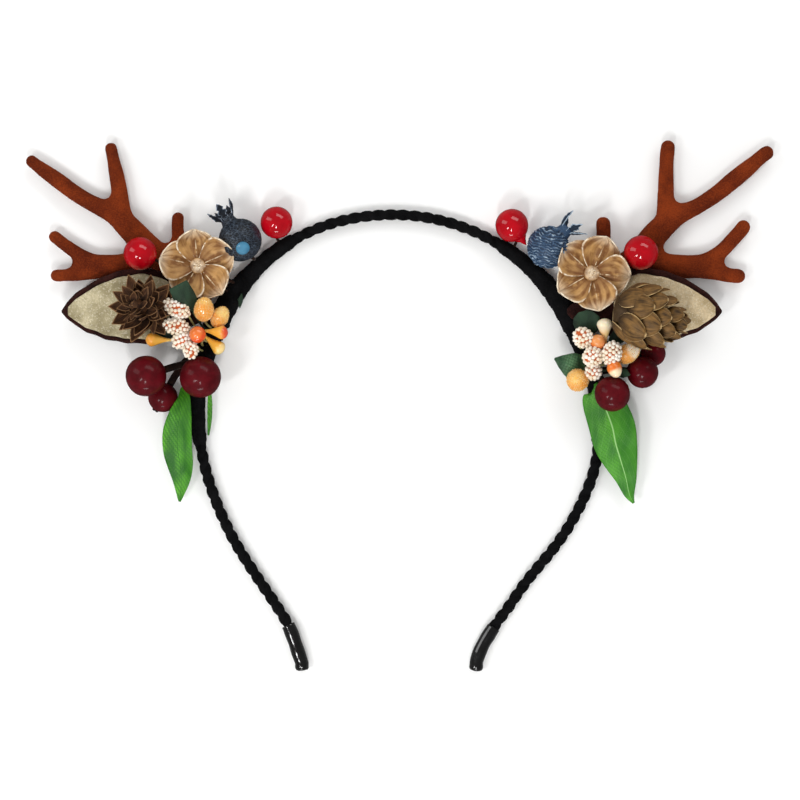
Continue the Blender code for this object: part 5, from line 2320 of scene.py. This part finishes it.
@dataclass
class PodFlower(Sided):
    """A dried pod open into petals.

    Attributes:
        seat: bearing and lean of the wire on the tape.
        middle: out, up and height from the anchor, in millimetres.
        spin: how far the petals are turned, in degrees.
        swirl: how far one side of a petal stands over the other.
        curl: how far each petal's tip curls in.
        seed: seed of the petals' differences.
        diameter: width over the petals.
        cup: how far the petals rise.
        petals: how many there are.
        button: height and radius of the cup below, in millimetres.
        heart: the same of the middle that carries the crumbs.
    """

    seat: tuple[float, float]
    middle: tuple[float, float, float]
    spin: float
    swirl: float
    curl: float
    seed: int
    diameter: float = 23.6 * MM
    cup: float = 4.2 * MM
    petals: int = 5
    button: tuple = (
        (-2.2, 0.0), (-2.0, 0.5), (-1.7, 1.6), (-1.0, 2.6), (-0.3, 2.2), (0.0, 1.3), (0.15, 0.0)
    )
    heart: tuple = ((-0.5, 0.0), (-0.2, 0.9), (0.2, 1.05), (0.6, 0.7), (0.8, 0.0))

    def petal(self, draft: Draft, centre: Vector, angle: float, chance: object) -> None:
        """Adds one petal: a shell with a raised line down its middle.

        Args:
            draft: where it is added.
            centre: middle of the pod.
            angle: its direction.
            chance: the pod's random generator.
        """
        radius = self.diameter / 2 * chance.uniform(0.95, 1.03)
        out = Vector((math.cos(angle), math.sin(angle), 0))
        across = Vector((-math.sin(angle), math.cos(angle), 0))
        lift = chance.uniform(0.85, 1.15)
        grid = []
        for share in np.linspace(0.06, 1.0, 26):
            half = 0.525 * radius * math.sin(math.pi * min(share, 0.995) ** 1.35) ** 0.6
            half = max(half, 0.25 * MM)
            row = []
            for part in np.linspace(-1, 1, 25):
                rim = abs(part) ** 2.0
                rise = rim if part > 0 else 0.45 * rim
                height = self.cup * lift * (share**2 * 0.40 + (1.30 - 0.55 * share) * rise * share)
                slit = 0.9 * math.exp(-(((part - 0.26) / 0.12) ** 2))
                crest = math.exp(-((part / 0.09) ** 2)) - slit
                height += 0.35 * MM * crest * math.sin(math.pi * min(1, share * 1.1))
                height += 0.16 * MM * math.sin(part * 19 + self.seed) * share
                height += self.swirl * part * share * (1 - 0.3 * share)
                height -= self.curl * max(share - 0.75, 0) * 4 * (1 - part**2)
                spot = centre + out * share * radius * (1 - 0.03 * rim) + across * part * half
                spot += out * 0.25 * MM * rough(spot, 2.2 * MM, self.seed) * share
                row.append(spot + FRONT * (height - 1.5 * MM))
            grid.append(row)
        draft.sheet(grid, 0.5 * MM, POD, edge=0.6)

    def knob(self, centre: Vector, rows: tuple, sides: int) -> list[Ring]:
        """Draws a round body under or in the pod.

        Args:
            centre: middle of the pod.
            rows: its height and radius in millimetres.
            sides: number of points round it.

        Returns:
            Its rings.
        """
        rings = []
        for height, radius in rows:
            middle = centre + FRONT * height * MM
            square = (EAST, NORTH)
            rings.append(disc(middle, square, radius * MM, sides) if radius else [middle])
        return rings

    def build(self) -> None:
        """Makes petals, crumbs, the cup below and the wire."""
        node, centre = self.node("flower"), self.place(self.middle)
        chance = np.random.default_rng(self.seed)
        draft, heart = draft_for(node), Draft("pod_heart")
        step = 2 * math.pi / self.petals
        for index in range(self.petals):
            self.petal(draft, centre, math.radians(self.spin) + index * step, chance)
        draft.loft(self.knob(centre, self.button, 20), POD)
        heart.loft(self.knob(centre, self.heart, 16), CRUMB)
        draft.sprinkle(
            heart, Grain.CRUMB, 0.42 * MM, CRUMB, Spacing=0.55 * MM, Small=0.6, Large=1.2,
            Tilt=0.9, Lift=0.1 * MM, Seed=self.seed,
        )
        path = bend(*self.wire(self.seat, 2.6), centre - FRONT * 1.6 * MM, 9)
        draft.tube(path, [0.5 * MM] * len(path), DARK_STEM)
        hand_over(draft.body(), "dried_pod", node)


@dataclass
class Pomegranate(Sided):
    """A blue pomegranate with a crown of ragged sepals.

    Attributes:
        middle: out, up and height from the anchor, in millimetres.
        crown: direction of the crown.
        sepals: for each sepal its turn round the crown and its flare in degrees, its
            length and width in millimetres, and its curl.
        skin: finish of the body.
        leafy: finish of the sepals.
        slot: its slot.
        wrinkle: depth of the wrinkles.
        furrow: distance between them.
        dot: place of the blue dot from the middle in millimetres, where it has one.
        diameter: width of the body.
        collar: radius and distance from the middle of the crown's foot, in radii.
        sides: number of points round the body.
    """

    middle: tuple[float, float, float]
    crown: tuple[float, float, float]
    sepals: tuple
    skin: Finish
    leafy: Finish
    slot: str
    wrinkle: float
    furrow: float
    dot: tuple[float, float] | None = None
    diameter: float = 13.4 * MM
    collar: tuple = ((0.36, 1.0), (0.33, 1.12), (0.36, 1.26), (0.30, 1.30), (0.2, 1.1))
    sides: int = 96

    def wrinkled(self, point: Vector) -> float:
        """Finds how high the wrinkles are.

        Args:
            point: a point near the middle.

        Returns:
            The height from 0 to 1.
        """
        sway = 0.8 * rough(point, 2.4 * MM, 1) + 0.5 * rough(point, 1.1 * MM, 3)
        line = point.dot(Vector((0.25, 0.95, 0.2))) / self.furrow + sway
        wave = 0.5 + 0.5 * math.sin(2 * math.pi * line)
        gaps = 0.5 + 0.5 * rough(point, 1.8 * MM, 11)
        return min(1.0, max(0.0, wave * (0.55 + 0.75 * gaps)))

    def build(self) -> None:
        """Makes body, dot, crown and stalk."""
        node, middle = self.node("pomegranate"), self.place(self.middle)
        axis, radius = Vector(self.crown).normalized(), self.diameter / 2
        square = across, depth = two_directions(axis)
        rings, marks = [[middle - axis * radius]], [[0.0]]
        for turn in np.linspace(-86, 66, 66):
            angle = math.radians(turn)
            ring, mark = [], []
            for index in range(self.sides):
                spin = 2 * math.pi * index / self.sides
                level = across * math.cos(spin) + depth * math.sin(spin)
                way = axis * math.sin(angle) + level * math.cos(angle)
                height = self.wrinkled(way * radius)
                ring.append(middle + way * (radius - self.wrinkle * (1 - height)))
                mark.append(height)
            rings.append(ring)
            marks.append(mark)
        for reach, lift in self.collar:
            rings.append(disc(middle + axis * radius * lift, square, radius * reach, self.sides))
            marks.append([0.4] * self.sides)
        draft = draft_for(node)
        draft.loft([*rings, [middle + axis * radius * 1.05]], self.skin, [*marks, [0.0]])
        for row in self.sepals:
            self.sepal(draft, middle, axis, square, row)
        if self.dot:
            self.add_dot(draft, middle, radius)
        foot, _ = self.wire((42.0, 20), 0.0)
        neck = middle - axis * radius * 0.9
        draft.tube([foot, foot.lerp(neck, 0.5), neck], [0.5 * MM] * 3, DARK_STEM)
        hand_over(draft.body(), self.slot, node)

    def sepal(self, draft: Draft, middle: Vector, axis: Vector, square: tuple, row: tuple) -> None:
        """Adds one ragged sepal to the crown.

        Args:
            draft: where it is added.
            middle: middle of the body.
            axis: direction of the crown.
            square: two directions square to it.
            row: turn, flare, length, width and curl.
        """
        turn, flare, length, width, curl = row
        spin, angle, radius = math.radians(turn), math.radians(flare), self.diameter / 2
        side = square[0] * math.cos(spin) + square[1] * math.sin(spin)
        wide = axis.cross(side).normalized()
        point = middle + axis * radius * 1.12 + side * radius * 0.30
        grid, steps = [], 18
        for number in range(steps):
            share = number / (steps - 1)
            way = axis * math.cos(angle) + side * math.sin(angle)
            half = width * MM / 2 * (0.55 + 0.6 * math.sin(math.pi * share**0.8)) * (1 - share**6)
            half *= 1 + 0.75 * rough(point, 0.7 * MM, 2)
            half = max(half, 0.12 * MM)
            outward = way.cross(wide).normalized()
            line = []
            for part in np.linspace(-1, 1, 9):
                hollow = outward * 0.30 * half * (1 - part**2)
                dent = outward * 0.15 * MM * rough(point + wide * part * half, 0.7 * MM, 8)
                line.append(point + wide * part * half + hollow + dent)
            grid.append(line)
            point = point + way * length * MM / (steps - 1)
            angle += math.radians(curl) / steps
        draft.sheet(grid, 0.34 * MM, self.leafy, edge=0.6)

    def add_dot(self, draft: Draft, middle: Vector, radius: float) -> None:
        """Adds the round blue dot on the front of the body.

        Args:
            draft: where it is added.
            middle: middle of the body.
            radius: its radius.
        """
        flat = Vector((self.dot[0] * MM, self.dot[1] * MM, 0))
        way = Vector((flat.x, flat.y, math.sqrt(radius**2 - flat.length**2))).normalized()
        square = two_directions(way)
        rings = [[middle + way * (radius - 0.8 * MM)]]
        for lift, reach in ((-0.8, 1.9), (0.1, 2.15), (0.35, 2.0), (0.45, 1.3)):
            rings.append(disc(middle + way * (radius + lift * MM), square, reach * MM, 28))
        draft.loft([*rings, [middle + way * (radius + 0.48 * MM)]], BLUE_DOT)


# ---- the two sides


@dataclass(frozen=True)
class Bunch:
    """Tables of everything on stems on one side.

    Attributes:
        heads: name, seat, middle, length, width, aim and seed of the stamen heads.
        buds: name, seat, middle, length, width, finish, rows, grains and aim of the buds.
        berries: name, seat, middle, width, whether it is a burgundy one, and its end.
        leaves: the fields of the small leaves after the side.
    """

    heads: tuple
    buds: tuple
    berries: tuple
    leaves: tuple

    def pieces(self, side: Side) -> list[Sided]:
        """Turns the tables into pieces.

        Args:
            side: the side that they are on.

        Returns:
            The pieces, in the order in which they are built.
        """
        made = []
        for name, seat, middle, length, width, aim, seed in self.heads:
            sizes = (length * MM, width * MM)
            made.append(StamenHead(side, name, seat, 3.0, middle, *sizes, aim, seed=seed))
        for name, seat, middle, length, width, finish, rows, grains, aim in self.buds:
            dress = (finish, rows, grains * MM)
            made.append(
                Bud(side, name, seat, 3.0, middle, length * MM, width * MM, aim, *dress)
            )
        for name, seat, middle, width, burgundy, end in self.berries:
            dress = (BURGUNDY, "burgundy", 1.15 * MM) if burgundy else (RED, "red_gloss", 0.45 * MM)
            made.append(Berry(side, name, seat, 2.0, middle, width, width, (), *dress, end))
        return made + [ClothLeaf(side, *leaf) for leaf in self.leaves]


RED_WIDTH, DARK_WIDTH = 10.3 * MM, 12.6 * MM
PLAIN = BerryEnd.PLAIN
LEFT_BUNCH = Bunch(
    heads=(
        ("stamen_1", (66.8, 50), (13.4, 2.2, 15.6), 8.8, 5.0, (-0.86, 0.44, 0.2), 11),
        ("stamen_2", (68.4, 50), (13.6, -3.4, 14.8), 8.2, 4.9, (-0.95, 0.15, 0.2), 12),
        ("stamen_3", (70.4, 50), (12.0, -7.6, 14.8), 6.4, 4.8, (-0.8, -0.3, 0.4), 13),
        ("stamen_4", (71.0, 76), (9.0, -10.8, 16.6), 5.6, 4.4, (-0.1, -0.8, 0.5), 14),
    ),
    buds=(
        ("bud_1", (64.2, 76), (5.0, 1.9, 15.8), 7.8, 6.0, ORANGE_SUGAR, OVAL, 0.3, (0.1, 0.9, 0.4)),
        (
            "bud_2", (64.6, 100), (0.2, -0.4, 13.0), 7.2, 5.2, YELLOW_SUGAR, OVAL, 0.3,
            (0.5, 0.8, 0.3),
        ),
        ("bud_3", (68.2, 82), (6.9, -5.9, 17.0), 5.4, 5.2, RED_ORANGE, ROUND, 0.0, ()),
        (
            "bud_4", (66.8, 70), (1.6, -5.0, 14.4), 8.0, 4.2, YELLOW_RED, DROP, 0.0,
            (0.95, -0.1, 0.2),
        ),
        ("bud_5", (69.6, 70), (2.2, -8.6, 13.0), 8.0, 4.4, YELLOW, DROP, 0.0, (0.75, -0.62, 0.1)),
        ("bud_6", (71.8, 46), (19.0, -7.4, 12.4), 8.4, 4.3, AMBER, DROP, 0.0, (-0.98, 0.02, 0.1)),
    ),
    berries=(
        ("top_berry", (34.0, 20), (-17.0, 29.1, 6.4), 0.97 * RED_WIDTH, False, PLAIN),
        ("antler_berry", (53.4, 50), (24.9, 19.2, 12.0), RED_WIDTH, False, PLAIN),
        ("burgundy_berry_1", (75.0, 26), (23.0, -18.6, 13.4), DARK_WIDTH, True, PLAIN),
        ("burgundy_berry_2", (77.5, 78), (6.3, -18.9, 12.6), 1.02 * DARK_WIDTH, True, PLAIN),
        (
            "burgundy_berry_3", (73.0, 4), (18.4, -25.2, 4.9), 0.73 * DARK_WIDTH, True,
            BerryEnd.BLOSSOM,
        ),
    ),
    leaves=(
        ("leaf_1", (65.2, 62), 4.0, (12.8, 9.4, 19.0), 6.8, 0.42, LeafCut.SQUARE),
        ("leaf_2", (69.2, 40), 4.0, (21.0, -2.6, 10.7), 6.4, 0.30, LeafCut.SQUARE),
        ("leaf_3", (53.5, 128), 1.6, (-5.2, 4.8, 8.6), 4.8, 0.20),
    ),
)
RIGHT_BUNCH = Bunch(
    heads=(
        ("stamen_1", (69.0, 112), (2.2, -6.8, 15.2), 6.8, 5.8, (-0.6, 0.6, 0.6), 21),
        ("stamen_2", (73.4, 88), (5.1, -12.7, 16.4), 6.8, 5.8, (-0.4, -0.4, 0.8), 22),
        ("stamen_3", (76.4, 96), (5.5, -17.3, 13.4), 5.4, 4.8, (0.0, -0.8, 0.6), 23),
        ("stamen_4", (71.8, 62), (11.0, -11.6, 17.2), 7.6, 5.8, (0.3, 0.85, 0.4), 24),
    ),
    buds=(
        ("bud_1", (69.0, 62), (9.0, -5.0, 14.0), 8.4, 4.9, CREAM, DROP, 0.0, (-0.05, 0.97, 0.2)),
        ("bud_2", (71.4, 84), (6.7, -8.2, 15.2), 4.8, 4.8, SOFT_ORANGE, ROUND, 0.0, ()),
        (
            "bud_3", (74.4, 48), (16.2, -11.6, 13.6), 8.0, 5.8, WHITE_SUGAR, OVAL, 0.3,
            (0.8, 0.55, 0.2),
        ),
        (
            "bud_4", (75.6, 66), (11.8, -16.4, 17.0), 5.8, 4.6, ORANGE_CREAM, OVAL, 0.0,
            (0.3, -0.9, 0.3),
        ),
        (
            "bud_5", (77.8, 122), (0.7, -19.8, 11.8), 7.4, 6.8, ORANGE_SUGAR, OVAL, 0.38,
            (-0.3, 0.3, 0.9),
        ),
    ),
    berries=(
        ("top_berry", (34.0, 20), (-19.4, 28.2, 6.4), RED_WIDTH, False, BerryEnd.DROP),
        ("antler_berry", (53.4, 50), (20.3, 19.5, 12.0), 1.04 * RED_WIDTH, False, PLAIN),
        ("burgundy_berry_1", (78.2, 74), (11.3, -24.1, 14.0), 0.87 * DARK_WIDTH, True, PLAIN),
        ("burgundy_berry_2", (77.0, 20), (20.9, -17.4, 10.0), 0.78 * DARK_WIDTH, True, PLAIN),
        ("burgundy_berry_3", (74.0, 8), (24.6, -11.6, 4.2), 0.62 * DARK_WIDTH, True, PLAIN),
    ),
    leaves=(
        ("leaf_1", (68.2, 96), 2.0, (4.4, 1.6, 12.5), 8.8, 0.25, LeafCut.ROUND),
        (
            "leaf_2", (75.4, 124), 2.0, (-6.4, -13.2, 11.0), 8.4, 0.0, LeafCut.TAPERED,
            WOVEN_LIGHT,
        ),
        ("leaf_3", (77.0, 40), 3.0, (16.8, -18.2, 14.4), 3.2, 0.40),
        ("leaf_4", (70.4, 46), 4.2, (16.6, -4.6, 10.9), 4.8, 0.25),
    ),
)
LEFT_LONG_LEAF = (
    (11.8, -23.0, 5.8, 0.20), (11.8, -26.0, 7.4, 0.36), (12.8, -30.6, 8.0, 0.60),
    (13.7, -36.0, 7.6, 0.76), (13.7, -41.0, 6.8, 0.76), (13.0, -46.0, 5.8, 0.68),
    (12.7, -51.0, 4.4, 0.46), (13.3, -57.6, 2.8, 0.06),
)
RIGHT_LONG_LEAF = (
    (7.9, -22.9, 6.6, 0.80), (8.7, -26.0, 6.4, 1.04), (11.6, -33.8, 6.6, 1.18),
    (12.8, -39.4, 6.6, 1.12), (14.1, -43.7, 6.0, 0.96), (16.1, -50.2, 4.8, 0.57),
    (17.2, -55.2, 3.8, 0.28), (18.6, -58.1, 3.2, 0.05),
)
UNDER_LEAF = ((3.9, -27.5, 2.6, 0.13), (4.0, -32.0, 2.4, 0.12), (4.4, -37.0, 1.9, 0.05))
NAVY_SEPALS = (
    (95, 10, 6.2, 2.3, 25), (150, 40, 5.6, 2.2, -15), (20, 34, 5.8, 2.1, -30),
    (235, 28, 4.2, 1.9, 10), (300, 25, 4.2, 1.9, 10),
)
BLUE_SEPALS = (
    (150, 30, 6.2, 1.8, -50), (60, 14, 6.0, 2.2, 40), (20, 42, 5.6, 1.8, 10),
    (235, 28, 4.2, 1.6, 10), (300, 25, 4.2, 1.6, 10),
)


def shaped_parts() -> list[Sided]:
    """Lists antlers, ears, cones, pods, pomegranates and long leaves.

    Returns:
        The pieces, in the order in which they are built.
    """
    left, right = Side.LEFT, Side.RIGHT
    return [
        Antler(left, LEFT_TINES, 0.46),
        Antler(right, RIGHT_TINES, 0.54),
        Ear(left, 1.6, GLITTER_LEFT),
        Ear(right, -2.3, GLITTER_RIGHT),
        Cone(
            left, (22.0, 1.8, 10.9), (-0.24, 0.10, 0.96), 19.0 * MM, 3.4 * MM, 8.2 * MM, 3.9 * MM,
            62, (76.0, 24.0), (0.96, 0.50), 0.60, 1.0, 1.0 * MM, DARK_SCALE, "dark_cone", 5,
        ),
        Cone(
            right, (11.4, 1.6, 20.3), (0.98, -0.19, -0.07), 23.0 * MM, 6.4 * MM, 10.2 * MM,
            9.8 * MM, 36, (34.0, 16.0), (1.0, 0.42), 0.09, 0.45, 1.7 * MM, LIGHT_SCALE,
            "light_cone", 8,
        ),
        PodFlower(left, (50.5, 48), (7.2, 15.5, 12.0), 95.0, 1.5 * MM, 0.3 * MM, 3),
        PodFlower(right, (50.5, 52), (5.1, 13.2, 12.4), 66.0, 2.1 * MM, 1.0 * MM, 4),
        Pomegranate(
            left, (-5.8, 23.6, 8.4), (-0.52, 0.85, 0.10), NAVY_SEPALS, NAVY_FRUIT, NAVY_SEPAL,
            "navy_fruit", 0.12 * MM, 1.7 * MM, (1.1, -2.8),
        ),
        Pomegranate(
            right, (-8.2, 21.4, 8.4), (0.70, 0.70, 0.10), BLUE_SEPALS, BLUE_FRUIT, BLUE_SEPAL,
            "blue_fruit", 0.5 * MM, 0.9 * MM,
        ),
        LongLeaf(left, "long_leaf", (79.5, 4), LEFT_LONG_LEAF, (0.35, -0.15), SATIN),
        LongLeaf(left, "under_leaf", (82.0, 172), UNDER_LEAF, (0.1, 0.1), SATIN),
        LongLeaf(right, "long_leaf", (80.0, 92), RIGHT_LONG_LEAF, (0.05, -0.25), SATIN_VEINED),
    ]


@dataclass
class Studio:
    """Pale floor, soft light and the camera over the headband.

    Attributes:
        view_width: width of the view at the headband.
        middle: where the camera looks.
        lens: its focal length.
        sensor: width of its sensor.
        floor: half the width of the floor.
        lamps: name, place, size and power of each lamp.
    """

    view_width: float = 0.248
    middle: tuple[float, float, float] = (-0.0003, 0.0019, 0.008)
    lens: float = 150.0
    sensor: float = 36.0
    floor: float = 1.5
    lamps: tuple = (
        ("window_left", (-0.42, -0.30, 0.70), (0.09, 0.22), 1.5),
        ("window_right", (-0.05, -0.48, 0.72), (0.09, 0.22), 2.0),
        ("window_low", (-0.05, -0.85, 0.24), (0.30, 0.10), 1.4),
        ("panel_back", (0.50, 1.10, 0.90), (1.2, 0.5), 6.0),
        ("panel_left", (-1.10, 0.50, 0.70), (0.5, 1.0), 3.6),
    )

    def light(self, name: str, place: tuple, size: tuple, power: float) -> None:
        """Adds one soft light that looks at the headband.

        Args:
            name: its name.
            place: where it is.
            size: its two sizes.
            power: its power.
        """
        lamp = bpy.data.lights.new(name, "AREA")
        lamp.shape = "RECTANGLE"
        lamp.size, lamp.size_y = size
        lamp.energy = power
        made = placed(name, lamp)
        made.location = place
        made.rotation_euler = (-Vector(place)).to_track_quat("-Z", "Y").to_euler()

    def build(self) -> None:
        """Makes floor, lights, surroundings and camera."""
        draft = Draft("floor")
        steps = np.linspace(-self.floor, self.floor, 3)
        draft.sheet([[(x, y, 0.0) for x in steps] for y in steps], 0.01, Floor("pale_floor"), 1.0)
        bmesh.ops.translate(draft.mesh, vec=(0, 0, -0.0051), verts=draft.mesh.verts)
        draft.body()
        for lamp in self.lamps:
            self.light(*lamp)
        scene, world = bpy.context.scene, bpy.data.worlds.new("studio")
        world.use_nodes = True
        graph = Graph(world.node_tree)
        glossy = graph.add("ShaderNodeLightPath").outputs["Is Glossy Ray"]
        sky = world.node_tree.nodes["Background"].inputs
        sky["Color"].default_value = (1.0, 1.0, 1.0, 1.0)
        graph.feed(sky["Strength"], graph.math("MULTIPLY_ADD", glossy, -0.42, 0.56))
        scene.world = world
        scene.view_settings.view_transform = "Standard"
        camera = bpy.data.cameras.new("camera")
        camera.lens, camera.sensor_width = self.lens, self.sensor
        scene.camera = placed("camera", camera)
        x, y, z = self.middle
        scene.camera.location = (x, y, z + self.view_width * self.lens / self.sensor)


def main() -> None:
    """Builds every piece in order."""
    logging.basicConfig(level=logging.INFO, format="%(name)s: %(message)s")
    Band().build()
    for wrap in WRAPS.values():
        wrap.build()
    bunches = LEFT_BUNCH.pieces(Side.LEFT) + RIGHT_BUNCH.pieces(Side.RIGHT)
    for part in shaped_parts() + bunches:
        part.build()
    Studio().build()


if __name__ == "__main__":
    main()
